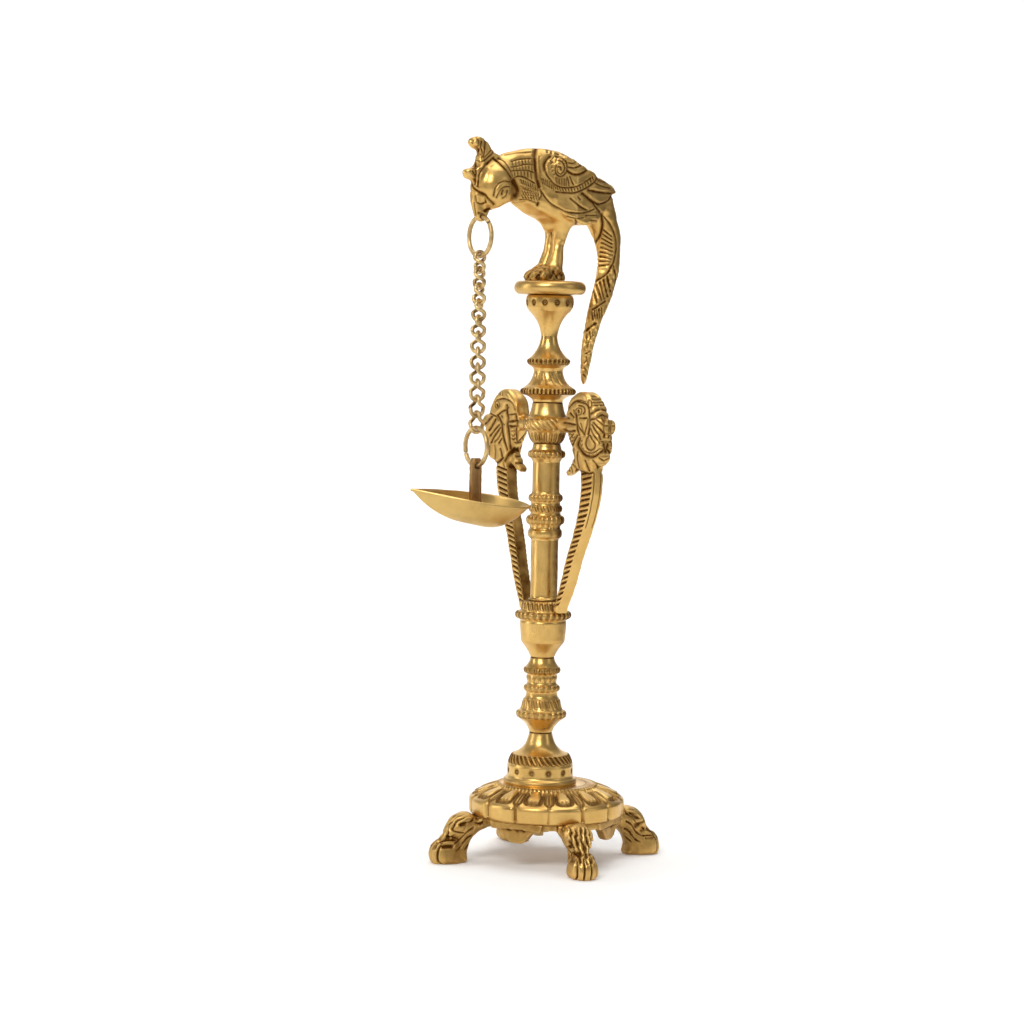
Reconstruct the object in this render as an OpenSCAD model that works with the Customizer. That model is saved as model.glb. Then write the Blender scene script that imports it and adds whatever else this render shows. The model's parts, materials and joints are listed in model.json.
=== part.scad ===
// Standing brass oil lamp with a bird finial, two figured brackets and a
// lamp bowl that hangs from the bird's beak on a chain of twisted links.
// Millimetres. +Z is up. The origin is on the stem's axis, on the surface
// that the feet stand on. The bird faces -X; the brackets lie along Y.

/* [Base] */
// Radius of the lobed base disc
disc_r = 32.5; // [31:0.5:34]
// Height of the underside of the base disc above the floor
disc_z = 19.2; // [18.6:0.2:19.8]
// Number of petals round the disc
petals = 14; // [10:1:18]
// Angle of the first leg, seen from above
leg_turn = 74; // [0:1:90]
// Width of a leg
leg_w = 8.4; // [7:0.2:10]
// How far the base stands off the stem's axis, towards the bird's tail
base_back = 2.4; // [0:0.1:2.4]
// How far the base stands off the stem's axis, to the right
base_right = 1.8; // [0:0.1:1.8]

/* [Stem] */
// Radius of the plain column
col_r = 5.65; // [5:0.05:6.5]
// Radius of the rod that holds the stem together
rod_r = 2; // [1.5:0.1:2.4]
// Radius of the top plate
plate_r = 14.9; // [13:0.1:16]

/* [Brackets] */
// Thickness of a bracket's figure
bracket_t = 8; // [6:0.5:9]
// Thickness of a bracket's tail
tail_t = 6; // [4:0.2:7]

/* [Bird] */
// Thickness of the beak at its hole
beak_t = 3.4; // [2.6:0.2:4]
// Radius of the hole in the beak
beak_hole_r = 1.3; // [1.25:0.05:1.4]

/* [Chain] */
// Radius of the wire of the two round rings
ring_wire = 0.95; // [0.8:0.05:1]
// Radius of the wire of the links
link_wire = 0.825; // [0.7:0.025:0.85]
// Gap between two touching wires
wire_gap = 0.1; // [0.05:0.05:0.15]
// Twist of a link from its top end to its bottom end
link_twist = 90; // [75:1:90]

/* [Bowl] */
// Depth of the bowl
bowl_d = 11.6; // [9:0.2:13]
// Thickness of the bowl's wall
bowl_wall = 1.3; // [1:0.1:1.6]
// Upward tilt of the spout
bowl_pitch = 7; // [0:1:10]
// Sideways tilt of the bowl
bowl_roll = -7; // [-12:1:12]
// Direction of the spout, seen from above
bowl_yaw = 164; // [160:1:200]

/* [Hidden] */

bore_r = rod_r + 0.1;
seat_z = disc_z + 12.3;     // where the bell foot stands
stud_r = 1.5;
hang_x = -35.7;             // the line that the chain hangs on
beak_z = 266.5;             // centre of the ring's wire in the beak
ring_cr = 8.05;             // radius of the top ring's centre line
low_cr = 7.8;               // radius of the bottom ring's centre line
link_r = 2.675;             // radius of a link's rounded ends, at its centre line
link_half = 1.46;           // half the straight length between them
link_len = 2 * (link_r + link_half);
pitch = link_len - 2 * link_wire - wire_gap;
links = 11;
drift = 7.5;                // how far each link is turned past the one above it
first_z = beak_z - 2 * ring_cr + ring_wire + link_wire + wire_gap; // top of link 1
last_z = first_z - (links - 1) * pitch - link_len;                 // bottom of link 11
low_top = last_z + link_wire + ring_wire + wire_gap;
low_z = low_top - 2 * low_cr;                  // wire of the bottom ring in the post

function bez(a, c, b, n) = [for (i = [1:n]) let (t = i / n)
    (1 - t) * (1 - t) * a + 2 * t * (1 - t) * c + t * t * b];
function unit(v) = v / norm(v);

// A ring with a rounded edge between heights a and b, out to radius r from radius r0
function bead(r0, r, a, b) = [for (i = [0:6]) let (t = -90 + 30 * i)
    [r0 + (r - r0) * cos(t), (a + b) / 2 + (b - a) / 2 * sin(t)]];

// A turned part: its outline from the bottom up, round a bore
module turned(outline, bore) {
    n = len(outline);
    rotate_extrude($fn = 64)
        polygon(concat([[bore, outline[0][1]]], outline, [[bore, outline[n - 1][1]]]));
}

// A tube over a list of rings, each a list of points
module skin(rings, closed = false) {
    n = len(rings);
    m = len(rings[0]);
    pts = [for (r = rings) for (p = r) p];
    last = closed ? n - 1 : n - 2;
    sides = [for (i = [0:last]) for (j = [0:m - 1]) let (k = (i + 1) % n, l = (j + 1) % m)
        each [[i * m + j, i * m + l, k * m + l], [i * m + j, k * m + l, k * m + j]]];
    ends = closed ? [] : [[for (j = [m - 1:-1:0]) j], [for (j = [0:m - 1]) (n - 1) * m + j]];
    polyhedron(points = pts, faces = concat(sides, ends), convexity = 10);
}

// An oval ring of points in a plane that holds Y, leaning by lean from upright
function oval(x, z, up, wide, lean, m = 16) = [for (j = [0:m - 1]) let (t = 360 * j / m)
    [x + up * sin(t) * sin(lean), -wide * cos(t), z + up * sin(t) * cos(lean)]];

// ---- base ----

leg_side = [[20, disc_z - 1], [20, disc_z - 2.6], [26, disc_z - 4], [30.6, disc_z - 6.8], [34.2, 8.5],
    [36.5, 4], [36.5, 0], [48.5, 0], [50.4, 1.2], [51, 3.6], [50.2, 6.8], [47.6, 9.2],
    [45, 11], [43, 14.4], [39.8, 18], [36.4, disc_z + 1], [34.2, disc_z + 1.3], [33.5, disc_z + 0.5],
    [32.8, disc_z - 0.15], [28, disc_z - 1]];

module leg() {
    rotate([90, 0, 0]) translate([0, 0, -leg_w / 2]) linear_extrude(leg_w) polygon(leg_side);
    // the paw, wider than the leg, with its outer toes
    for (s = [-1, 1]) translate([0, s * (leg_w / 2 - 0.2), 0]) {
        translate([45.5, 0, 0]) cylinder(r = 2.2, h = 5.4, $fn = 24);
        translate([47.8, -s * 0.8, 0]) cylinder(r = 1.7, h = 4.2, $fn = 24);
        translate([40.5, -s * 0.6, 0]) cylinder(r = 1.7, h = 4.2, $fn = 24);
    }
}

module leg_stand() color("goldenrod") difference() {
    translate([base_back, -base_right, 0]) {
        translate([0, 0, disc_z - 2.4]) cylinder(r = 30.8, h = 2.4, $fn = 64);
        for (i = [0:3]) rotate([0, 0, leg_turn + 90 * i]) leg();
        // drops of the apron between the legs
        for (i = [0:3]) rotate([0, 0, leg_turn + 45 + 90 * i]) translate([26, 0, 0])
            rotate([90, 0, 90]) linear_extrude(2.8)
                polygon([[-10, disc_z - 1], [-5.6, disc_z - 4], [-3.8, disc_z - 6.8], [-1.6, disc_z - 8.5],
                    [1.6, disc_z - 8.5], [3.8, disc_z - 6.8], [5.6, disc_z - 4], [10, disc_z - 1]]);
    }
    translate([0, 0, -1]) cylinder(r = bore_r, h = 40, $fn = 48);
}

module base_disc() color("gold") difference() {
    translate([base_back, -base_right, 0]) difference() {
        turned(concat([[disc_r - 1, disc_z]],
            [[disc_r, disc_z + 1.2], [disc_r, disc_z + 5.8], [disc_r - 1, disc_z + 7.2]],
            bez([disc_r - 1, disc_z + 7.2], [27, disc_z + 10], [21.2, disc_z + 11.8], 3),
            [[21, disc_z + 13], [19, disc_z + 13], [18.6, seat_z]]), 0);
        for (i = [0:petals - 1]) rotate([0, 0, 4.6 + i * 360 / petals])
            translate([disc_r + 0.6, 0, disc_z - 1]) cylinder(r = 1.2, h = 9, $fn = 24);
    }
    translate([0, 0, disc_z - 1]) cylinder(r = bore_r, h = 20, $fn = 48);
}

// ---- stem ----

module bell_foot() color("goldenrod")
    turned(concat([[15.3, seat_z], [15.3, seat_z + 2.4], [14.4, seat_z + 3.8],
        [13.75, seat_z + 3.8], [13.75, 40.3], [14.1, 40.6], [12.4, 43.9]],
        bez([12.4, 43.9], [6.6, 45.6], [5.4, 50.4], 5), [[4.7, 53.2]]), bore_r);

module lower_baluster() color("gold")
    turned(concat([[4.7, 53.2]], bez([4.7, 53.2], [6, 57.4], [9.4, 59.6], 3),
        bead(9.2, 10.6, 59.7, 62.5), bez([9.2, 62.5], [6.6, 64], [6.3, 67.2], 3),
        [[6.3, 70.4]], bead(6.3, 7.6, 70.6, 73.2), [[5.6, 74.2], [6.1, 75.6], [5.7, 77.4]],
        bead(6.2, 7.75, 78.1, 80.9), bez([5.8, 81.1], [5, 82.4], [4.9, 84.8], 2)), bore_r);

module bracket_cup() color("goldenrod")
    turned(concat([[4.9, 84.8]], bez([4.9, 84.8], [8, 87.2], [8.7, 91.6], 4),
        [[9.7, 92.6], [9.9, 99.8]], bead(10, 11.8, 100.9, 104.2), [[8.6, 104.3], [9.2, 105.2],
        [8.9, 107], [7.4, 108.6]]), bore_r);

module column_tube() color("gold")
    turned(concat([[col_r + 0.6, 108.6], [col_r + 0.6, 109.6], [col_r, 110.2], [col_r, 134.4]],
        bead(col_r, 7.1, 134.9, 138.5), [[6, 139.3]], bead(6.2, 8.1, 140.6, 144),
        bead(5.9, 6.9, 145.4, 148.4), bead(5.9, 7.1, 149.9, 153), [[col_r, 154], [col_r, 166.8]],
        bead(6, 7.9, 168, 171.2), [[5.7, 172.2], [5.6, 174.2]]), bore_r);

module bracket_hub() color("goldenrod") difference() {
    turned(concat([[5.6, 174.2]], bez([5.6, 174.2], [7.4, 175.4], [8.4, 178.6], 3),
        [[8.6, 179.4], [9.8, 180.2], [10.2, 181.2], [10.2, 183.1], [9.8, 184.1], [8.6, 184.9]],
        bez([8.2, 185.1], [7, 187.2], [6.3, 191.2], 3)), bore_r);
    for (s = [0, 180]) rotate([0, 0, s]) translate([0, -12, 182.2]) rotate([-90, 0, 0])
        cylinder(r = 2.3, h = 7, $fn = 48);
}

module upper_baluster() color("gold") difference() {
    turned(concat([[6.2, 191.2], [6.6, 193]], bead(9.4, 11.7, 193.6, 198),
        bez([9, 198.2], [6.4, 200], [6, 204.2], 3), [[6.6, 205.4]], bead(7.6, 9.1, 206, 210.2),
        bez([7.2, 210.4], [3.2, 214], [3.6, 220], 4), bez([3.6, 220], [8, 223.4], [9.4, 228.4], 4),
        [[10, 229.2], [10, 234], [9.4, 235.4], [7.6, 235.9]]), bore_r);
    translate([0, 0, 229.8]) cylinder(r = 6.4, h = 10, $fn = 48);
}

module plate() color("goldenrod") difference() {
    union() {
        rotate_extrude($fn = 64) polygon(concat([[0, 235.9]],
            bead(12.2, plate_r, 235.9, 241.5), [[0, 241.5]]));
        translate([0, 0, 229.9]) cylinder(r = 6.3, h = 7, $fn = 48);
    }
    translate([0, 0, 225]) cylinder(r = bore_r, h = 9, $fn = 48);
    translate([0, 0, 236]) cylinder(r = stud_r + 0.06, h = 8, $fn = 48);
}

module tie_rod() color("peru") translate([0, 0, 9.6]) cylinder(r = rod_r, h = 223.9, $fn = 48);

module base_washer() color("peru") translate([0, 0, disc_z - 3.6]) difference() {
    cylinder(r = 6.4, h = 1.2, $fn = 48);
    translate([0, 0, -1]) cylinder(r = bore_r, h = 4, $fn = 48);
}

module base_nut() color("peru") translate([0, 0, disc_z - 7.8]) difference() {
    cylinder(r = 4.6, h = 4.2, $fn = 6);
    translate([0, 0, -1]) cylinder(r = rod_r + 0.02, h = 8, $fn = 48);
}

// ---- brackets ----

figure = [[17, 186], [18, 190.4], [21, 194], [25.4, 196.2], [30, 195.8], [34, 193], [37.6, 188],
    [40.2, 181.6], [41, 175.4], [40.4, 170.4], [38, 167], [34, 165.4], [31.6, 163.6], [27.4, 163.2],
    [24.4, 165.4], [22.6, 169.4], [20.8, 174], [18.2, 178.4]];
// centre, height and width of each section of a tail, from the figure down to the cup
tail_right = [[31.2, 167, 8.8], [31.6, 157, 8], [29.6, 147, 7], [26, 138, 6], [21.4, 128, 5.2],
    [17.6, 118, 4.6], [14.4, 110.8, 4], [12.2, 106.6, 3.4]];
tail_left = [[28.8, 167, 8.4], [28.4, 157, 8], [25.8, 147, 7], [22.2, 138, 6.2], [19, 127, 5.4],
    [16.4, 117.6, 4.8], [14, 110.8, 4], [12.2, 106.6, 3.4]];

module bracket(tail) {
    rotate([90, 0, 90]) translate([0, 0, -bracket_t / 2]) linear_extrude(bracket_t) polygon(figure);
    rotate([90, 0, 90]) translate([0, 0, -tail_t / 2]) linear_extrude(tail_t) polygon(concat(
        [for (p = tail) [p[0] - p[2] / 2, p[1]]], [[10.5, 104.3], [13.4, 104.3]],
        [for (i = [len(tail) - 1:-1:0]) let (p = tail[i]) [p[0] + p[2] / 2, p[1]]]));
    // the claw that reaches back towards the column
    rotate([90, 0, 90]) translate([0, 0, -1.6]) linear_extrude(3.2)
        polygon([[24.6, 172], [21, 169.6], [18.4, 165.6], [15.8, 163], [16.6, 161.4], [19.8, 162.6], [24, 165.2], [27, 167]]);
    // the arm and its tenon in the hub
    translate([0, 11, 182.2]) rotate([-90, 0, 0]) cylinder(r = 3.2, h = 9, $fn = 48);
    translate([0, 5.2, 182.2]) rotate([-90, 0, 0]) cylinder(r = 2.25, h = 9, $fn = 48);
}

module peacock_bracket_right() color("darkgoldenrod") mirror([0, 1, 0]) bracket(tail_right);
module peacock_bracket_left() color("darkgoldenrod") bracket(tail_left);

// ---- bird ----

// centre x, centre z, half height, half width and lean of each section, head to tail tip
bird_run = [[-34.6, 281, 3, 2.4, -30], [-33, 280.6, 6.4, 4.6, -24], [-29, 280.6, 9, 6.6, -14],
    [-23.6, 281.4, 11.4, 7.4, -8], [-17, 281.6, 13.6, 7.6, -4], [-10, 280.4, 16, 8.6, 0],
    [-3, 279.4, 17.2, 9.8, 3], [5, 278.4, 17, 10.2, 6], [12.6, 276.4, 14.2, 8.6, 12],
    [19.4, 275, 10.8, 6.8, 28], [25, 271.8, 8.8, 5.4, 46], [28, 266, 8, 5.4, 68],
    [29, 257, 6.6, 4.6, 85], [28.8, 246, 6.4, 4.2, 95], [26.6, 235, 6, 3.8, 103],
    [23.6, 223, 5, 3.3, 106], [20.7, 212, 3.9, 2.8, 108], [19, 204.5, 2.6, 2.2, 108],
    [18, 198.2, 0.8, 0.9, 108]];
beak_side = [[-37.6, 280], [-40, 275.6], [-40.4, 271.4], [-39, 267.2], [-37, 264.3], [-34.4, 264.2],
    [-33.2, 266.4], [-31.4, 269.4], [-27, 272], [-27, 280]];
crest_side = [[-31, 281], [-36.6, 281.6], [-40.6, 280.4], [-43.8, 281.6], [-45, 284.4], [-43, 287],
    [-39.6, 287.6], [-37.8, 289.6], [-39.4, 292.4], [-42.6, 294], [-43.6, 297], [-41.6, 299.6],
    [-38, 300], [-34, 297.4], [-29.6, 292.8], [-24, 288]];

module bird() color("gold") difference() {
    union() {
        skin([for (s = bird_run) oval(s[0], s[1], s[2], s[3], s[4])]);
        rotate([90, 0, 0]) translate([0, 0, -beak_t / 2]) linear_extrude(beak_t) polygon(beak_side);
        rotate([90, 0, 0]) translate([0, 0, -2.2]) linear_extrude(4.4) polygon(crest_side);
        for (s = [-1, 1]) translate([0, 3.5 * s, 0]) {
            translate([2.3, 0, 243]) cylinder(r1 = 2.5, r2 = 2.2, h = 24, $fn = 32);
            translate([0, 0, 241.5]) linear_extrude(3)
                polygon([[-12, -1], [-12, 1], [-4, 3.4], [4, 3], [7.6, 1], [7.6, -1], [4, -3], [-4, -3.4]]);
        }
        translate([-2, 0, 241.5]) cylinder(r = 5, h = 2.4, $fn = 48);
    }
    translate([hang_x, 4, beak_z - 0.05]) rotate([90, 0, 0]) cylinder(r = beak_hole_r, h = 8, $fn = 48);
    translate([0, 0, 240]) cylinder(r = stud_r + 0.02, h = 3.2, $fn = 48);
}

module bird_stud() color("peru") translate([0, 0, 236.1]) cylinder(r = stud_r, h = 7, $fn = 48);

// ---- chain ----

// A round ring in the YZ plane, with the cut where it was bent shut
module jump_ring(cr, z, cut) translate([hang_x, 0, z]) rotate([0, 90, 0]) difference() {
    rotate_extrude($fn = 96) translate([cr, 0]) circle(r = ring_wire, $fn = 32);
    rotate([0, 0, cut]) translate([cr - 2, -0.12, -2]) cube([4, 0.24, 4]);
}

module top_ring() color("khaki") jump_ring(ring_cr, beak_z - ring_cr, 230);
module bottom_ring() color("khaki") jump_ring(low_cr, low_top - low_cr, 70);

// the centre line of a link: a long loop, twisted about its own long axis
function loop_flat(a) = let (c = cos(a), s = sin(a)) [link_r * c, link_r * s + link_half * min(1, max(-1, 3 * s))];
function loop_at(a) = let (p = loop_flat(a), h = link_len / 2, u = min(1, max(0, 0.5 - p[1] / (2.2 * link_half))),
    w = link_twist * u * u * (3 - 2 * u)) [p[0] * cos(w), p[0] * sin(w), p[1]];
// the frame is carried round the loop, and the turn it gathers is spread back along it
function carried(i, n, prev) = let (a = 360 * i / n, p = loop_at(a), t = unit(loop_at(a + 2) - loop_at(a - 2)),
    u = unit(prev - (prev * t) * t)) i > n ? [] : concat([[p, t, u]], carried(i + 1, n, u));

module chain_link(k) {
    n = 32;
    m = 8;
    f = carried(0, n, unit(cross(loop_at(2) - loop_at(-2), [0, 1, 0])));
    gathered = atan2(cross(f[0][2], f[n][2]) * f[0][1], f[0][2] * f[n][2]);
    translate([hang_x, 0, first_z - (k - 1) * pitch - link_len / 2])
        rotate([0, 0, drift * k])
            skin([for (i = [0:n - 1]) let (b = cross(f[i][1], f[i][2])) [for (j = [0:m - 1])
                let (t = 360 * j / m + gathered * i / n)
                f[i][0] + link_wire * (cos(t) * f[i][2] - sin(t) * b)]], true);
}

module chain_link_01() color("khaki") chain_link(1);
module chain_link_02() color("khaki") chain_link(2);
module chain_link_03() color("khaki") chain_link(3);
module chain_link_04() color("khaki") chain_link(4);
module chain_link_05() color("khaki") chain_link(5);
module chain_link_06() color("khaki") chain_link(6);
module chain_link_07() color("khaki") chain_link(7);
module chain_link_08() color("khaki") chain_link(8);
module chain_link_09() color("khaki") chain_link(9);
module chain_link_10() color("khaki") chain_link(10);
module chain_link_11() color("khaki") chain_link(11);

// ---- hanging bowl ----

rim_z = 152.4;              // height of the rim where the post stands
foot_z = 143.3;             // bottom of the post, where it is soldered in

// the rim's outline round the post: a round back and a drawn-out spout
function rim_at(a) = let (c = cos(a), s = sin(a)) c > 0
    ? [-8.4 + 36.6 * c, (s < 0 ? -1 : 1) * 15 * pow(max(0, cos(90 * c)), 1.15)]
    : [-8.4 + 15 * c, 15 * s];
// a ring of the bowl's surface, s from 1 at the rim to 0 at the bottom, set in by the wall
function bowl_ring(s, inset, m = 36) = [for (j = [0:m - 1]) let (r = rim_at(-360 * (j + 0.45) / m),
    q = [r[0] + 5, r[1]], l = norm(q)) [-5 + q[0] * s * (1 - inset / l), q[1] * s * (1 - inset / l),
    -(bowl_d - inset) * (1 - pow(s, 2.5))]];

module bowl_place() translate([hang_x, 0, rim_z]) rotate([0, 0, bowl_yaw])
    rotate([0, -bowl_pitch, 0]) rotate([bowl_roll, 0, 0]) children();

module diya_bowl() color("gold") bowl_place() {
    steps = [0.12, 0.3, 0.48, 0.64, 0.78, 0.9, 1];
    skin(concat([for (s = steps) bowl_ring(s, 0)],
        [for (i = [len(steps) - 1:-1:0]) bowl_ring(steps[i], bowl_wall)]));
}

module hanger_post() color("peru") difference() {
    translate([hang_x, 0, 0]) rotate([90, 0, 0]) translate([0, 0, -1.4]) linear_extrude(2.8)
        polygon([[-3.3, foot_z], [3.3, foot_z], [2.8, foot_z + 3], [2.4, foot_z + 8], [2.3, low_z + 1.8],
            [1.5, low_z + 3.2], [-1.5, low_z + 3.2], [-2.3, low_z + 1.8], [-2.4, foot_z + 8], [-2.8, foot_z + 3]]);
    translate([hang_x, 4, low_z + 0.05]) rotate([90, 0, 0]) cylinder(r = 1.3, h = 8, $fn = 48);
}

leg_stand();
base_disc();
bell_foot();
lower_baluster();
bracket_cup();
column_tube();
bracket_hub();
upper_baluster();
plate();
bird();
bird_stud();
tie_rod();
base_washer();
base_nut();
peacock_bracket_right();
peacock_bracket_left();
top_ring();
chain_link_01();
chain_link_02();
chain_link_03();
chain_link_04();
chain_link_05();
chain_link_06();
chain_link_07();
chain_link_08();
chain_link_09();
chain_link_10();
chain_link_11();
bottom_ring();
hanger_post();
diya_bowl();
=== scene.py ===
import json
import math
import bpy
import numpy as np
from mathutils import Matrix, Vector


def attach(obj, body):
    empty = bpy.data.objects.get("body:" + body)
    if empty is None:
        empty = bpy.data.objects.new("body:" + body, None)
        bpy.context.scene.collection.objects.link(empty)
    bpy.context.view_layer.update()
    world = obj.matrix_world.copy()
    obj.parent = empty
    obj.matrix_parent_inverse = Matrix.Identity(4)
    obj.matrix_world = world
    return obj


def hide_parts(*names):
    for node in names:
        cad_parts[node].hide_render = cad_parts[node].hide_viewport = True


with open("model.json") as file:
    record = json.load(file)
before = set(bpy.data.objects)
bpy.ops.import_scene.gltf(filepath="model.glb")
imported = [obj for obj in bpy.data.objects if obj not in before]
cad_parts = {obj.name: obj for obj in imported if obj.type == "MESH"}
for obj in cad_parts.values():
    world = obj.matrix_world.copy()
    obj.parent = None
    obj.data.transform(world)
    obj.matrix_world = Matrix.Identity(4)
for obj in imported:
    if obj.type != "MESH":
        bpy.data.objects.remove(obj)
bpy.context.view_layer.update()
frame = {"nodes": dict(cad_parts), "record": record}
BODY_OF = {n: b for b, ns in frame["record"]["behaviour"]["bodies"].items() for n in ns}
SLOT_OF = {s["node"]: s["material_slot"] for s in frame["record"]["subparts"]}
rng = np.random.default_rng(7)

# ------------------------------------------------------------------ camera

CAM = np.array([-0.629, -0.866, 0.208])
AIM = np.array([-0.0113, 0.0082, 0.1463])
ROLL = math.radians(1.17)


def camera():
    f = (AIM - CAM) / np.linalg.norm(AIM - CAM)
    r0 = np.cross(f, [0, 0, 1]); r0 /= np.linalg.norm(r0)
    u0 = np.cross(r0, f)
    r = math.cos(ROLL) * r0 + math.sin(ROLL) * u0
    u = -math.sin(ROLL) * r0 + math.cos(ROLL) * u0
    cam = bpy.data.cameras.new("camera")
    cam.sensor_width = 36.0
    cam.lens = 90.35
    cam.clip_start, cam.clip_end = 0.01, 20
    ob = bpy.data.objects.new("camera", cam)
    bpy.context.scene.collection.objects.link(ob)
    ob.matrix_world = Matrix(((r[0], u[0], -f[0], CAM[0]), (r[1], u[1], -f[1], CAM[1]),
                              (r[2], u[2], -f[2], CAM[2]), (0, 0, 0, 1)))
    bpy.context.scene.camera = ob


camera()

# ------------------------------------------------------------------ mesh helpers (millimetres)


def normals_of(V, F):
    if F.shape[1] == 4:
        n = np.cross(V[F[:, 2]] - V[F[:, 0]], V[F[:, 3]] - V[F[:, 1]])
    else:
        n = np.cross(V[F[:, 1]] - V[F[:, 0]], V[F[:, 2]] - V[F[:, 0]])
    N = np.stack([sum(np.bincount(F[:, k], n[:, c], len(V)) for k in range(F.shape[1])) for c in range(3)], 1)
    return N / np.maximum(np.linalg.norm(N, axis=1, keepdims=True), 1e-12)


def edges_of(F):
    k = F.shape[1]
    e = np.concatenate([np.stack([F[:, i], F[:, (i + 1) % k]], 1) for i in range(k)])
    e.sort(axis=1)
    key = np.unique(e[:, 0].astype(np.int64) * (F.max() + 1) + e[:, 1])
    return np.stack([key // (F.max() + 1), key % (F.max() + 1)], 1)


def smooth(V, E, times, amount=1.0):
    deg = np.maximum(np.bincount(E[:, 0], minlength=len(V)) + np.bincount(E[:, 1], minlength=len(V)), 1)[:, None]
    Q = V.copy()
    for _ in range(times):
        S = np.stack([np.bincount(E[:, 0], Q[E[:, 1], c], len(V)) + np.bincount(E[:, 1], Q[E[:, 0], c], len(V))
                      for c in range(Q.shape[1])], 1)
        Q = Q * (1 - amount) + amount * S / deg
    return Q


def hollows(V, F, near=3, far=26):
    """How far each point lies below its surroundings, close by and further off, and above them."""
    N = normals_of(V, F)
    E = edges_of(F)
    a = smooth(V, E, near)
    b = smooth(a, E, far)
    return ((a - V) * N).sum(1), ((b - V) * N).sum(1), E


def sstep(a, b, x):
    t = np.clip((x - a) / (b - a), 0, 1)
    return t * t * (3 - 2 * t)


def wire_noise(P, seed, amp):
    g = np.random.default_rng(seed)
    out = np.zeros(len(P))
    for _ in range(7):
        k = g.normal(size=3) * g.uniform(0.5, 2.2)
        out += np.sin(P @ k + g.uniform(0, 6.28))
    return amp * out / 2.6


def piece(name, V, F, mat, node, also=(), dark=None, edge=None, body=None):
    me = bpy.data.meshes.new(name)
    n, k = F.shape
    me.vertices.add(len(V))
    me.vertices.foreach_set("co", (np.asarray(V) * 0.001).astype(np.float32).ravel())
    me.loops.add(n * k)
    me.loops.foreach_set("vertex_index", F.astype(np.int32).ravel())
    me.polygons.add(n)
    me.polygons.foreach_set("loop_start", np.arange(0, n * k, k, dtype=np.int32))
    me.update(calc_edges=True)
    me.validate()
    me.polygons.foreach_set("use_smooth", np.ones(len(me.polygons), bool))
    if dark is None:
        h1, h2, E = hollows(V, F)
        dark = np.clip(sstep(0.012, 0.09, h1) * 0.75 + sstep(0.05, 0.34, h2) * 0.75, 0, 1)
        edge = sstep(0.015, 0.08, -h1)
    for label, vals in (("dark", dark), ("edge", edge)):
        at = me.attributes.new(label, "FLOAT", "POINT")
        at.data.foreach_set("value", np.asarray(vals if vals is not None else np.zeros(len(V)), np.float32))
    me.materials.append(mat)
    ob = bpy.data.objects.new(name, me)
    bpy.context.scene.collection.objects.link(ob)
    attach(ob, body or BODY_OF[node])
    if node:
        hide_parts(node, *also)
    return ob


def grid_faces(nu, nv, close_u=False, close_v=True):
    u = np.arange(nu if close_u else nu - 1)
    v = np.arange(nv if close_v else nv - 1)
    U, W = np.meshgrid(u, v, indexing="ij")
    U2, W2 = (U + 1) % nu, (W + 1) % nv
    return np.stack([U * nv + W, U * nv + W2, U2 * nv + W2, U2 * nv + W], -1).reshape(-1, 4)


def resample(P, ds):
    P = np.asarray(P, float)
    seg = np.linalg.norm(np.diff(P, axis=0), axis=1)
    P = P[np.concatenate([[True], seg > 1e-6])]
    s = np.concatenate([[0], np.cumsum(np.linalg.norm(np.diff(P, axis=0), axis=1))])
    n = max(3, int(round(s[-1] / ds)))
    t = np.linspace(0, s[-1], n + 1)
    return np.stack([np.interp(t, s, P[:, i]) for i in range(P.shape[1])], 1)


def bez(a, c, b, n=8):
    t = np.linspace(0, 1, n + 1)[1:, None]
    a, c, b = (np.array(x, float) for x in (a, c, b))
    return [tuple(p) for p in (1 - t) ** 2 * a + 2 * t * (1 - t) * c + t * t * b]


def bead(r0, r, a, b, n=10):
    t = np.radians(np.linspace(-90, 90, n + 1))
    return [(r0 + (r - r0) * math.cos(x), (a + b) / 2 + (b - a) / 2 * math.sin(x)) for x in t]


# ------------------------------------------------------------------ materials


def node_of(nt, kind, **values):
    n = nt.nodes.new(kind)
    for k, v in values.items():
        if k in n.inputs:
            n.inputs[k].default_value = v
        else:
            setattr(n, k, v)
    return n


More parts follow.
